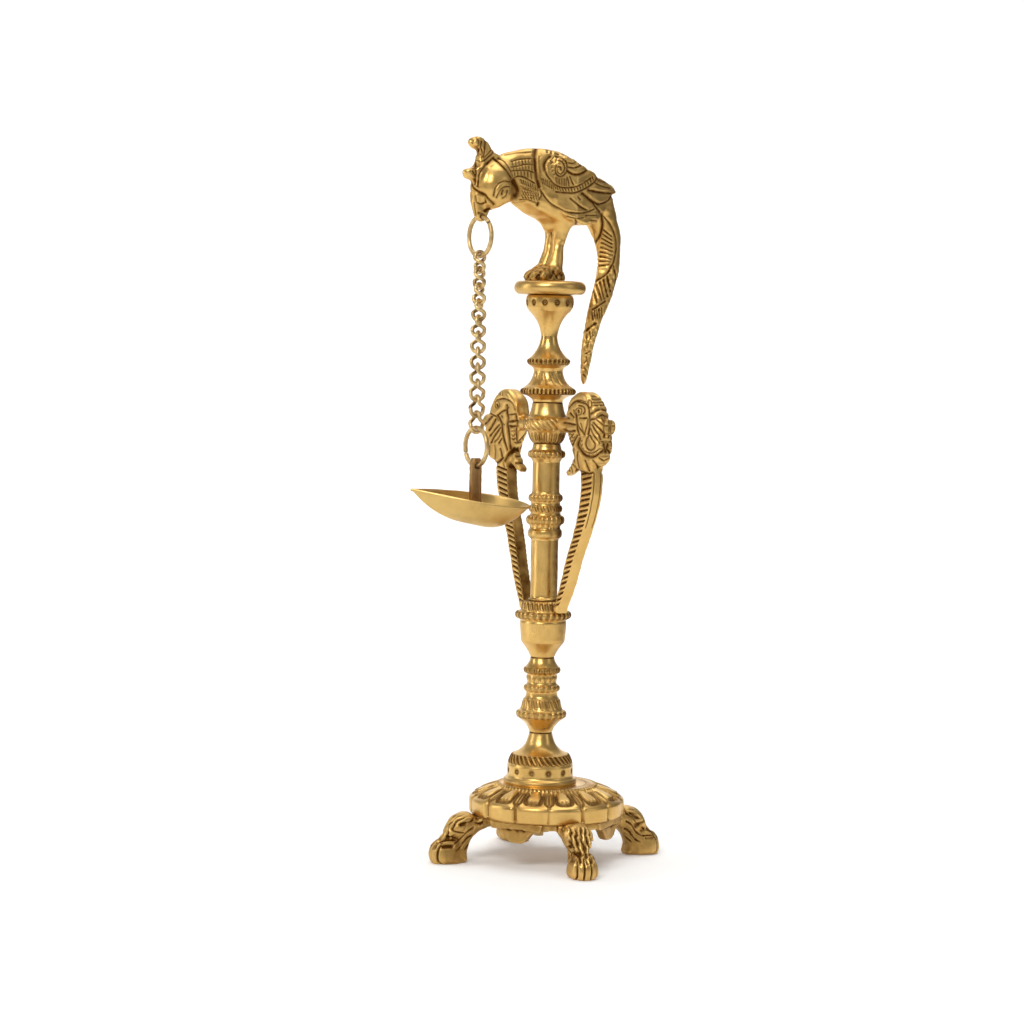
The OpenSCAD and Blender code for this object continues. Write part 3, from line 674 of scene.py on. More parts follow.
def tube_field(rings, lo, hi, h, band=10):
    """The distance to a closed tube through rings of points, on the same grid as the others."""
    n, m, _ = rings.shape
    V = np.concatenate([rings.reshape(-1, 3), rings[0].mean(0, keepdims=True), rings[-1].mean(0, keepdims=True)])
    F = grid_faces(n, m)
    T3 = np.concatenate([F[:, [0, 1, 2]], F[:, [0, 2, 3]],
                         np.array([(n * m, (j + 1) % m, j) for j in range(m)]),
                         np.array([(n * m + 1, (n - 1) * m + j, (n - 1) * m + (j + 1) % m) for j in range(m)])])
    v = V[T3]
    if np.einsum("ij,ij->i", v[:, 0], np.cross(v[:, 1], v[:, 2])).sum() < 0:
        T3 = T3[:, ::-1]
    g = openvdb.FloatGrid.createLevelSetFromPolygons(((V - np.asarray(lo)) / h).astype(np.float32),
                                                     triangles=T3.astype(np.uint32), halfWidth=float(band))
    shape = [len(np.arange(lo[i], hi[i] + h * 0.5, h)) for i in range(3)]
    D = np.empty(shape, np.float32)
    g.copyToArray(D)
    return D * h


def post():
    h = 0.13
    fz = 143.3
    lo, hi = (HANG_X - 4.4, -3.2, fz - 0.6), (HANG_X + 4.4, 3.2, LOW_Z + 4.0)
    X, Y, Z = axes_of(lo, hi, h)
    x = X - HANG_X
    side = [(-3.3, fz), (3.3, fz), (2.8, fz + 3), (2.4, fz + 8), (2.3, LOW_Z + 1.8), (1.5, LOW_Z + 3.2),
            (-1.5, LOW_Z + 3.2), (-2.3, LOW_Z + 1.8), (-2.4, fz + 8), (-2.8, fz + 3)]
    d2 = sd_poly(x[:, :, 0][:, 0][:, None] + 0 * Z[0, 0][None, :], 0 * x[:, 0, 0][:, None] + Z[0, 0][None, :], side)
    D = slab(d2[:, None, :], Y + 0 * x, 1.4, 0.55)
    D = np.maximum(D, -(np.sqrt(x ** 2 + (Z - LOW_Z - 0.05) ** 2) - 1.32 + 0 * Y))
    V, F = from_field(D, lo, h)
    N = normals_of(V, F)
    V = V + N * (wire_noise(V * 0.9, 21, 0.05) - 0.02)[:, None]
    V[:, 2] = np.clip(V[:, 2], fz, LOW_Z + 3.2)
    streak = np.clip(0.45 + wire_noise(V * np.array([1.6, 1.6, 0.12]), 22, 0.5), 0, 1) * 0.3
    # the streaks are darker tone along the post; in and round the drilled hole the colour is painted shade
    piece("hanger_post", V, F, BROWN, "hanger_post", dark=np.maximum(streak, sstep(1.6, 1.2, np.hypot(V[:, 0] - HANG_X, V[:, 2] - LOW_Z))))


post()

RIM_Z, BOWL_D, BOWL_WALL = 152.4, 11.6, 1.3


def bowl():
    m = 360
    a = -2 * math.pi * (np.arange(m) + 0.5) / m
    c, s = np.cos(a), np.sin(a)
    front = c > 0
    rx = np.where(front, -8.4 + 36.6 * c, -8.4 + 15 * c)
    ry = np.where(front, np.sign(s) * 15 * np.maximum(0, np.cos(np.pi / 2 * c)) ** 1.15, 15 * s)
    rim = np.stack([rx, ry], 1)
    # points evenly along the rim
    for _ in range(3):
        seg = np.linalg.norm(np.roll(rim, -1, 0) - rim, axis=1)
        sl = np.concatenate([[0], np.cumsum(seg)])
        closed = np.concatenate([rim, rim[:1]])
        t = np.linspace(0, sl[-1], m + 1)[:-1]
        rim = np.stack([np.interp(t, sl, closed[:, i]) for i in range(2)], 1)
    for _ in range(3):
        rim = 0.5 * rim + 0.25 * (np.roll(rim, 1, 0) + np.roll(rim, -1, 0))
    q = rim + np.array([5.0, 0])
    L = np.linalg.norm(q, axis=1)

    def ring(sc, inset):
        k = sc * (1 - inset / L)
        return np.concatenate([np.array([-5.0, 0]) + q * k[:, None], np.full((m, 1), -(BOWL_D - inset) * (1 - sc ** 2.5))], 1)

    rings = []
    for sc in np.concatenate([np.linspace(0.03, 0.9, 44), np.linspace(0.915, 0.985, 10)]):
        rings.append(ring(sc, 0.0))
    # a rolled lip, a little thicker than the wall
    for ang in np.radians(np.linspace(-70, 250, 18)):
        mid = 0.5 * (ring(1.0, 0.12) + ring(1.0, BOWL_WALL + 0.02))
        outw = ring(1.0, 0.12) - ring(1.0, BOWL_WALL + 0.02)
        outw[:, 2] = 0
        w = np.linalg.norm(outw, axis=1, keepdims=True)
        outw = outw / np.maximum(w, 1e-9)
        rings.append(mid + outw * (math.cos(ang) * 0.66) + np.array([0, 0, -0.6 + 0.6 * math.sin(ang)]))
    for sc in np.concatenate([np.linspace(0.985, 0.915, 10), np.linspace(0.9, 0.03, 44)]):
        rings.append(ring(sc, BOWL_WALL))
    R = np.array(rings)
    n = len(R)
    V = R.reshape(-1, 3)
    caps = np.stack([R[0].mean(0), R[-1].mean(0)])
    F = grid_faces(n, m)
    T3 = np.concatenate([F[:, [0, 1, 2]], F[:, [0, 2, 3]],
                         np.array([(n * m, (j + 1) % m, j) for j in range(m)]),
                         np.array([(n * m + 1, (n - 1) * m + j, (n - 1) * m + (j + 1) % m) for j in range(m)])])
    V = np.concatenate([V, caps])
    v = V[T3]
    if np.einsum("ij,ij->i", v[:, 0], np.cross(v[:, 1], v[:, 2])).sum() < 0:
        T3 = T3[:, ::-1]
    N = normals_of(V, T3)
    # beaten by hand: faint hollows
    V = V + N * wire_noise(V * 0.22, 31, 0.07)[:, None]

    def rot(axis, deg):
        return np.array(Matrix.Rotation(math.radians(deg), 3, axis))
    M = rot("Z", 164) @ rot("Y", -7) @ rot("X", -7)
    W = V @ M.T + np.array([HANG_X, 0, RIM_Z])
    h1, h2, _ = hollows(W, T3, 3, 40)
    inside = np.zeros(len(V))
    inside[: n * m] = np.repeat(np.arange(n) > 72, m)
    # painted shade: darker deep inside the bowl and towards its bottom, with dark oxide in small hollows and tone that
    # varies at random
    d = np.clip(0.25 * inside * sstep(-3, -9, V[:, 2]) + 0.12 * sstep(-6, -11, V[:, 2]) + sstep(0.03, 0.2, h1) * 0.4
                + 0.12 * wire_noise(V * 0.35, 33, 1.0), 0, 0.7)
    # painted shadow and reflection of the post in the bowl, round the post's foot
    foot = np.hypot(W[:, 0] - HANG_X, W[:, 1])
    d = np.maximum(d, 0.75 * inside * np.exp(-((foot - 3.2) / 1.6) ** 2))
    piece("diya_bowl", W, T3, SATIN, "diya_bowl", dark=d, edge=sstep(-1.0, -0.3, V[:, 2]) * 0.5)


bowl()

# ------------------------------------------------------------------ carved figures
# Their chased lines are drawn as they show from the front left, and the far side mirrors them.


BIRD_OUTLINE = [  # the bird's outline, seen the same way
    (-35.6, 299.1), (-35.3, 300.2), (-34.1, 301.4), (-32.4, 301.9), (-31, 301.8), (-29.4, 301.1), (-27.7, 300.2), (-26.8, 298.9),
    (-25.9, 296.9), (-25.2, 296.4), (-24.2, 295.8), (-23.9, 295), (-22.8, 294.8), (-20.1, 295.4), (-16.8, 296.1), (-12.9, 296.8),
    (-9.5, 297.1), (-4, 296.9), (-1.2, 296.2), (1.6, 295.7), (3.8, 294.8), (6.1, 293.9), (8.3, 292.5), (10, 291.5),
    (12.3, 290), (14.5, 288.3), (17.3, 286.6), (19, 284.8), (21.3, 283.6), (24.1, 281.9), (26.2, 280.4), (26.9, 279.1),
    (26.7, 278), (25.3, 277.2), (25.3, 276.1), (26, 272.5), (27.2, 268.3), (27.3, 266.8), (28.6, 262.6),
    (29.3, 258.4), (29.4, 254.1), (29, 247.8), (27.8, 241.5), (26.4, 236.2), (23.9, 229.9), (21.8, 225.1), (20.1, 219.3),
    (18.4, 213), (17.5, 207.2), (16.3, 201.4), (15.8, 199.3), (14.8, 197.7), (13.7, 199.8), (13.3, 202.4), (13.3, 209.3),
    (13.3, 216.1), (14, 220.4), (15, 224.6), (15.9, 229.9), (17.2, 235.1), (18.4, 240.9), (19.3, 245.7), (19.4, 252),
    (18.3, 256.8), (16.4, 261), (13.7, 263.9), (10.5, 264.7), (8.9, 264.1), (7.8, 262.9), (6.8, 260.4), (5.8, 257),
    (5.3, 253.5), (5.4, 249.8), (5.1, 246.5), (5.7, 240.3), (-12.2, 240.3), (-11.7, 243.4), (-9.3, 246.6), (-5.7, 249.8),
    (-4.4, 253.2), (-3.2, 256.5), (-2.7, 259.8), (-3.4, 263), (-4.4, 265.2), (-6.4, 266.9), (-7.3, 267.5), (-10.9, 269.4), (-13.7, 271.4), (-16.3, 273.3), (-17.4, 274.4), (-19.3, 273.6),
    (-21.8, 272.2), (-25.4, 270.8), (-26.2, 269.1), (-26.7, 267.5), (-28.1, 265.9), (-29.2, 265.7), (-30.6, 266.2), (-31.7, 267.3),
    (-32.4, 268.6), (-33.2, 271.1), (-33.9, 273.9), (-34.5, 277.2), (-34.7, 279.4), (-34.4, 281.4), (-34.2, 283.2), (-35.9, 283.9),
    (-37.2, 285), (-37.7, 286.4), (-37.4, 287.8), (-36.3, 288.4), (-34.1, 288.9), (-33.1, 289.7), (-32.7, 291.1), (-32.5, 292.8),
    (-31.9, 294.1), (-32, 295.7), (-33.4, 296.5), (-34.8, 297.6),
]

BIRD_LINES = [  # width, depth, then the line's points, seen from the front left: sideways and up, in mm
    (0.6, 0.45, (-24.5, 292.9), (-26.6, 291.1), (-28.5, 288.9), (-30.2, 286.4), (-30.8, 283.9), (-31, 280.8)),
    (0.5, 0.4, (-32.6, 290.8), (-32.3, 288.9), (-31.8, 286.6), (-31.9, 284.1), (-32.3, 281.6)),
    (0.7, 0.5, (-24.5, 292.5), (-22.2, 290.8), (-19.9, 288.7), (-18.2, 286.6), (-16.9, 284.6)),
    (0.45, 0.35, (-22.7, 292.6), (-20.4, 291.6), (-18.7, 289.7), (-17.6, 287.8), (-16.4, 285.2)),
    (0.8, 0.6, (-34.4, 283), (-32.8, 280.2), (-30.3, 278.6), (-28, 277.2), (-26.6, 275.5), (-24.3, 273.3)),
    (0.5, 0.4, (-17.5, 282.9), (-19.5, 283.2), (-21.5, 282.6), (-23, 281.2), (-23.9, 279.3), (-24.2, 277.1)),
    (0.45, 0.35, (-17.7, 280.9), (-19.5, 280.8), (-20.9, 280), (-21.9, 278.6), (-23, 276.4)),
    (0.6, 0.45, (-20.4, 279.3), (-20.8, 277.8)),
    (0.35, 0.3, (-18.4, 279.3), (-19.1, 277.1), (-20.5, 276.1)),
    (0.45, 0.35, (-31.9, 276.9), (-31.5, 274.8)),
    (0.45, 0.35, (-27.9, 276.2), (-27.6, 274.1)),
    (0.4, 0.3, (-31, 274.3), (-29.6, 273.6), (-28.1, 274)),
    (0.4, 0.3, (-32.3, 274.1), (-32.1, 271.6), (-31.6, 268.9)),
    (0.9, 0.7, (-27.6, 270.7), (-26, 271.2)),
    (0.5, 0.4, (-30.4, 270), (-29, 269.5)),
    (0.6, 0.5, (-28, 300.5), (-28.1, 297.5), (-28.6, 294.4), (-28.9, 293.3)),
    (0.5, 0.4, (-29.7, 299.6), (-29.9, 296.9), (-29.4, 294.8), (-29.5, 292.8)),
    (0.5, 0.4, (-24.2, 295.7), (-26.1, 293.7), (-28.2, 291.9), (-29.4, 291.4)),
    (0.4, 0.35, (-25.2, 296.4), (-27.1, 294.4), (-28.6, 292.8)),
    (0.8, 0.5, (-31.2, 295.9), (-31.6, 293.9)),
    (0.4, 0.3, (-32.1, 301.1), (-31, 300), (-30.8, 298.3), (-31.6, 297.2)),
    (0.4, 0.3, (-33.8, 299.7), (-33.5, 298.9)),
    (0.9, 0.6, (-32.5, 290.7), (-32.2, 288.7)),
    (0.45, 0.35, (-33, 287.2), (-32.1, 285.2), (-32.5, 283.3)),
    (0.45, 0.4, (-16.9, 291.4), (-14.7, 292.1), (-12.2, 292.5), (-8.2, 292.5)),
    (0.5, 0.4, (-16.9, 289.1), (-14.1, 289.4), (-11.1, 290.2), (-7.6, 290)),
    (0.45, 0.4, (-17.1, 287.4), (-13.2, 287.7), (-10.3, 287.7), (-7.3, 286.6)),
    (0.5, 0.4, (-17.2, 284.4), (-15.7, 284.4), (-14.3, 285.2), (-11.8, 284.9), (-9.8, 283.9), (-7.2, 282.3)),
    (0.35, 0.25, (-20, 294.1), (-15.6, 294.8), (-11.2, 295.1), (-7.8, 295.2)),
    (0.3, 0.3, (-16.5, 291.6), (-16.4, 289.6)),
    (0.3, 0.3, (-15.2, 291.7), (-15.1, 289.8)),
    (0.3, 0.3, (-13.9, 291.9), (-13.7, 289.9)),
    (0.3, 0.3, (-12.5, 292), (-12.4, 290)),
    (0.3, 0.3, (-11.2, 292.1), (-11.1, 290.1)),
    (0.3, 0.3, (-9.9, 292.3), (-9.7, 290.2)),
    (0.3, 0.3, (-8.5, 292.4), (-8.4, 290.3)),
    (0.3, 0.3, (-16.2, 289.1), (-16.1, 287.6)),
    (0.3, 0.3, (-14.9, 289.2), (-14.8, 287.6)),
    (0.3, 0.3, (-13.6, 289.3), (-13.5, 287.6)),
    (0.3, 0.3, (-12.4, 289.4), (-12.2, 287.6)),
    (0.3, 0.3, (-11.1, 289.5), (-11, 287.5)),
    (0.3, 0.3, (-9.8, 289.6), (-9.7, 287.5)),
    (0.3, 0.3, (-8.5, 289.6), (-8.4, 287.5)),
    (0.3, 0.3, (-15.7, 287.4), (-15.6, 285.2)),
    (0.3, 0.3, (-14.4, 287.4), (-14.2, 285)),
    (0.3, 0.3, (-13, 287.4), (-12.8, 284.8)),
    (0.3, 0.3, (-11.6, 287.4), (-11.4, 284.6)),
    (0.3, 0.3, (-10.2, 287.4), (-10, 284.4)),
    (0.3, 0.3, (-8.8, 287.4), (-8.6, 284.1)),
    (1.1, 0.8, (-7.2, 297.1), (-7.2, 293.3), (-7, 290.5), (-6.5, 286.6), (-5.9, 283.7), (-5.1, 280.7)),
    (0.5, 0.35, (-5, 280), (-4.2, 277.8), (-5.2, 275.4)),
    (0.8, 0.5, (-5.6, 274), (-5.9, 273.2)),
    (0.4, 0.3, (-13.3, 275.4), (-9.7, 275.2), (-6.3, 274.1)),
    (1.6, 1, (-15.8, 283.2), (-14.5, 280.8), (-13.9, 278.6), (-14.8, 276.9)),
    (0.28, 0.3, (-13, 283.7), (-12.4, 282.2)),
    (0.28, 0.3, (-12, 283.3), (-11.5, 281.8)),
    (0.28, 0.3, (-11, 282.9), (-10.5, 281.3)),
    (0.28, 0.3, (-10, 282.6), (-9.6, 280.9)),
    (0.28, 0.3, (-9, 282.2), (-8.6, 280.4)),
    (0.28, 0.3, (-8, 281.8), (-7.7, 280)),
    (0.28, 0.3, (-7, 281.4), (-6.7, 279.5)),
    (0.28, 0.3, (-6, 281), (-5.8, 279.1)),
    (0.28, 0.3, (-13.1, 281.2), (-12, 280)),
    (0.28, 0.3, (-12, 280.8), (-11, 279.6)),
    (0.28, 0.3, (-11, 280.3), (-10.1, 279.2)),
    (0.28, 0.3, (-9.9, 279.9), (-9.1, 278.8)),
    (0.28, 0.3, (-8.9, 279.4), (-8.2, 278.4)),
    (0.28, 0.3, (-7.8, 279), (-7.2, 278)),
    (0.28, 0.3, (-6.7, 278.6), (-6.3, 277.6)),
    (0.28, 0.3, (-5.7, 278.1), (-5.3, 277.3)),
    (0.28, 0.3, (-12.4, 279.3), (-11.7, 277.8)),
    (0.28, 0.3, (-11.3, 278.9), (-10.6, 277.5)),
    (0.28, 0.3, (-10.1, 278.6), (-9.5, 277.2)),
    (0.28, 0.3, (-9, 278.3), (-8.5, 276.9)),
    (0.28, 0.3, (-7.9, 277.9), (-7.4, 276.6)),
    (0.28, 0.3, (-6.8, 277.6), (-6.3, 276.4)),
    (0.28, 0.3, (-5.7, 277.3), (-5.3, 276.1)),
    (0.28, 0.3, (-12.5, 277.2), (-11.8, 275.9)),
    (0.28, 0.3, (-11.2, 277), (-10.6, 275.7)),
    (0.28, 0.3, (-10, 276.8), (-9.4, 275.5)),
    (0.28, 0.3, (-8.8, 276.5), (-8.2, 275.3)),
    (0.28, 0.3, (-7.6, 276.3), (-7.1, 275.1)),
    (0.28, 0.3, (-6.3, 276.1), (-5.9, 274.8)),
    (0.25, 0.22, (-13.4, 282.5), (-5.9, 280)),
    (0.25, 0.22, (-13.1, 281.2), (-5.7, 279.2)),
    (0.25, 0.22, (-12.8, 280), (-5.6, 278.4)),
    (0.25, 0.22, (-12.5, 278.7), (-5.5, 277.6)),
    (0.25, 0.22, (-12.2, 277.5), (-5.4, 276.9)),
    (0.25, 0.22, (-11.9, 276.2), (-5.2, 276.1)),
    (0.5, 0.4, (-4.5, 278.9), (-1.3, 274.7), (1.5, 272.5), (4.9, 270.8), (8.2, 270), (11.6, 269.8), (14.9, 270.2), (17.8, 271.5)),
    (0.9, 0.6, (-1, 293.4), (-2.5, 291.9), (-3.2, 290), (-2.9, 288)),
    (0.5, 0.4, (-2.8, 288), (-2.1, 285.8), (-0.9, 284.1), (-0.1, 283.2)),
    (0.5, 0.45, (1.5, 293.4), (3.6, 293), (5.6, 291.4), (6.2, 289.1), (5.9, 286.9), (4.7, 285.5), (3.3, 285.1), (1.9, 286.1), (1.3, 288), (1.6, 289.6)),
    (0.4, 0.4, (2.5, 291.9), (4.2, 291.1), (5.1, 289.3), (5, 287.6), (4.1, 286.5), (3.2, 286.2), (2.3, 287.1), (2.1, 288.3), (2.4, 289.3)),
    (0.5, 0.4, (2.4, 289.1), (3.5, 289), (3.8, 287.8)),
    (0.28, 0.3, (-0.3, 292.2), (0.3, 293)),
    (0.28, 0.3, (-0.6, 290.5), (0.2, 290.8)),
    (0.28, 0.3, (-0.4, 288.9), (0.3, 288.8)),
    (0.28, 0.3, (-0, 287.2), (0.7, 287.6)),
    (0.28, 0.3, (0.7, 285.8), (1.4, 286.5)),
    (0.28, 0.3, (-1.1, 291.9), (-0.3, 291.1)),
    (0.28, 0.3, (3.2, 292.6), (3.1, 291.8)),
    (0.28, 0.3, (4.6, 292.1), (4.2, 291.3)),
    (0.28, 0.3, (5.6, 290.7), (4.9, 290.2)),
    (0.28, 0.3, (5.9, 288.6), (5.1, 288.6)),
    (0.28, 0.3, (5.4, 286.6), (4.6, 287.2)),
    (0.28, 0.3, (3.7, 285.5), (3.7, 286.3)),
    (0.28, 0.3, (2.2, 286.2), (2.7, 286.9)),
    (0.6, 0.45, (6.4, 289.1), (8.7, 288.7), (10.6, 289.1), (12.1, 289.7)),
    (0.85, 0.6, (6.2, 287.5), (7.9, 286.4), (10.1, 285.8), (12.3, 286.3), (14.4, 287.6)),
    (0.4, 0.3, (6.1, 290.8), (8.4, 290.5), (10, 291.1)),
    (0.4, 0.35, (7.4, 285.1), (8.2, 283.3), (9, 281.6)),
    (0.4, 0.35, (6.3, 284.7), (6.9, 283), (7.2, 281.1)),
    (0.3, 0.35, (1.7, 284.7), (1.9, 282.1)),
    (0.3, 0.35, (2.4, 284.6), (2.6, 281.9)),
    (0.3, 0.35, (3.1, 284.5), (3.3, 281.7)),
    (0.3, 0.35, (3.9, 284.4), (4, 281.5)),
    (0.3, 0.35, (4.6, 284.3), (4.7, 281.3)),
    (0.3, 0.35, (5.3, 284.1), (5.4, 281.1)),
    (0.3, 0.35, (6, 284), (6.1, 280.9)),
    (0.4, 0.3, (8.3, 295.2), (6.1, 294.4), (4.4, 294.7)),
    (0.4, 0.35, (9.7, 291.6), (11.3, 290.9), (12, 289.8)),
    (0.4, 0.35, (1.5, 294.7), (2.5, 294.3)),
    (0.4, 0.35, (4.4, 294.3), (5.5, 293.7)),
    (0.4, 0.35, (-2.3, 296.1), (-2.2, 295.1)),
    (0.4, 0.35, (6.6, 293.3), (7.8, 292.8)),
    (0.4, 0.35, (-0.6, 295.7), (-0.5, 294.7)),
    (0.55, 0.45, (-0.4, 283.2), (1.9, 281.4), (4.7, 280.5), (8, 280.5), (10.8, 281.1), (13.5, 282.5), (16.1, 284.3)),
    (0.6, 0.5, (1.9, 278.7), (5.3, 278.3), (8.6, 278.2), (10.3, 278.5), (13, 279.5), (15.8, 281.1), (18, 283), (18.8, 284.6)),
    (0.32, 0.4, (0.2, 282.5), (0.6, 281.1)),
    (0.32, 0.4, (1.1, 281.5), (1.6, 280.1)),
    (0.32, 0.4, (2.1, 280.9), (2.6, 279.5)),
    (0.32, 0.4, (3.3, 280.5), (3.7, 279.1)),
    (0.32, 0.4, (4.4, 280.2), (4.9, 278.8)),
    (0.32, 0.4, (5.6, 280.1), (6.1, 278.7)),
    (0.32, 0.4, (6.9, 280.1), (7.3, 278.7)),
    (0.32, 0.4, (8.1, 280.1), (8.5, 278.8)),
    (0.32, 0.4, (9.3, 280.4), (9.8, 279)),
    (0.32, 0.4, (10.5, 280.8), (11, 279.4)),
    (0.32, 0.4, (11.7, 281.3), (12.1, 279.9)),
    (0.32, 0.4, (12.8, 281.9), (13.2, 280.5)),
    (0.32, 0.4, (13.8, 282.6), (14.3, 281.2)),
    (0.32, 0.4, (14.8, 283.4), (15.3, 282)),
    (0.32, 0.4, (15.9, 284.3), (16.4, 282.9)),
    (0.32, 0.4, (16.8, 285), (17.3, 283.6)),
    (0.3, 0.35, (-5.1, 284.7), (-4.7, 282.5)),
    (0.3, 0.35, (-4.3, 284.4), (-3.9, 282.1)),
    (0.3, 0.35, (-3.6, 284), (-3.1, 281.7)),
    (0.3, 0.35, (-2.8, 283.7), (-2.4, 281.3)),
    (0.3, 0.35, (-2, 283.4), (-1.6, 280.9)),
    (0.3, 0.35, (-1.2, 283), (-0.9, 280.5)),
    (0.3, 0.35, (-0.4, 282.7), (-0.1, 280.1)),
    (0.3, 0.35, (0.4, 282.4), (0.6, 279.8)),
    (0.35, 0.25, (-5.2, 287.2), (-4.9, 284.7), (-3.7, 282.5)),
    (0.35, 0.25, (-5.6, 293.3), (-5.5, 289.1), (-5, 286.9)),
    (0.9, 0.7, (15.7, 279.4), (18.6, 278.7), (21.4, 278.3), (25.1, 278.1)),
    (0.5, 0.4, (18.6, 283.9), (20.7, 283), (23.7, 282.1)),
    (0.45, 0.4, (18, 282.5), (20.8, 281.1), (24.1, 280.2)),
    (1, 0.7, (13.1, 278), (15.3, 276.1), (17.6, 274.4), (19.7, 273.5)),
    (0.6, 0.5, (25.2, 277.3), (23.8, 275.2), (22, 274.1), (19.8, 273.5)),
    (0.6, 0.45, (8, 275.9), (10.4, 273.9), (12.6, 272.2), (14.9, 271)),
    (0.4, 0.3, (11.1, 276.6), (12, 275.5)),
    (0.7, 0.55, (17.4, 274.1), (18.7, 272.2), (20.4, 270.2), (21.3, 268.4)),
    (0.4, 0.3, (6.6, 268.3), (10.5, 267.6), (13.3, 267.9)),
    (0.4, 0.3, (14.6, 268.8), (16.6, 268.9), (19.1, 268.9)),
    (0.7, 0.4, (16.9, 266.8), (18.4, 266.5)),
    (0.6, 0.4, (10.1, 266.9), (10.3, 265.5)),
    (0.9, 0.6, (21.2, 268.1), (21.4, 264.7), (20.2, 260.2), (18.1, 257.2)),
    (0.5, 0.4, (21.7, 268.4), (24.7, 265), (26.9, 259.9), (27.4, 255.2), (26.7, 250.4), (25.7, 247.8)),
    (0.5, 0.42, (21.5, 263), (25.2, 260.2)),
    (0.5, 0.42, (21.3, 261.1), (25.3, 258.6)),
    (0.5, 0.42, (21.1, 259.2), (25.4, 257)),
    (0.5, 0.42, (21, 257.3), (25.5, 255.5)),
    (0.5, 0.42, (20.8, 255.4), (25.6, 253.9)),
    (0.5, 0.42, (20.6, 253.5), (25.7, 252.3)),
    (0.5, 0.42, (20.5, 251.6), (25.3, 250.7)),
    (0.5, 0.42, (20.3, 249.7), (24.9, 249.5)),
    (0.5, 0.42, (20.1, 247.8), (24.5, 248.4)),
    (0.7, 0.5, (25.7, 248.1), (24.1, 245.2), (21.5, 243.1), (18.4, 241.5)),
    (0.5, 0.4, (26.4, 247.8), (27.4, 243.6), (27.3, 240.4), (26.3, 236.5)),
    (0.65, 0.5, (19.1, 239.8), (21.7, 233.6)),
    (0.7, 0.5, (20.6, 240.9), (22.8, 234.2)),
    (0.65, 0.5, (22.1, 242.1), (24.2, 235.1)),
    (0.6, 0.5, (23.7, 243.6), (25.4, 237.3)),
    (0.5, 0.4, (18, 237.3), (19.7, 232.5)),
    (0.7, 0.5, (23.2, 233.1), (20.7, 231.4), (17.9, 229.8)),
    (0.45, 0.4, (17.5, 228.8), (18.2, 225.4)),
    (0.45, 0.4, (18.6, 229.2), (19.2, 225.7)),
    (0.45, 0.4, (19.6, 229.5), (20.1, 226)),
    (0.45, 0.4, (20.7, 229.9), (21.1, 226.3)),
    (0.45, 0.4, (21.7, 230.3), (22, 226.6)),
    (0.7, 0.5, (19.1, 223.7), (17.1, 222.4), (15.3, 220.9)),
    (0.4, 0.32, (16.8, 220.4), (17.4, 217.5)),
    (0.4, 0.32, (15.7, 219.3), (15.4, 215.6)),
    (0.4, 0.32, (18, 220.6), (18.4, 218.8)),
    (0.4, 0.32, (15.3, 211.1), (17.1, 212.2)),
    (0.4, 0.32, (14.8, 207.2), (16.1, 208.6)),
    (0.4, 0.32, (15.6, 209.8), (16.7, 206.6)),
    (0.4, 0.32, (14.9, 205.1), (16.2, 204)),
    (0.4, 0.32, (14.7, 202.4), (15.7, 201.4)),
    (0.4, 0.32, (16.5, 216.1), (16, 213.5)),
    (0.35, 0.25, (13.8, 219.3), (13.7, 211.9), (13.7, 205.1)),
]

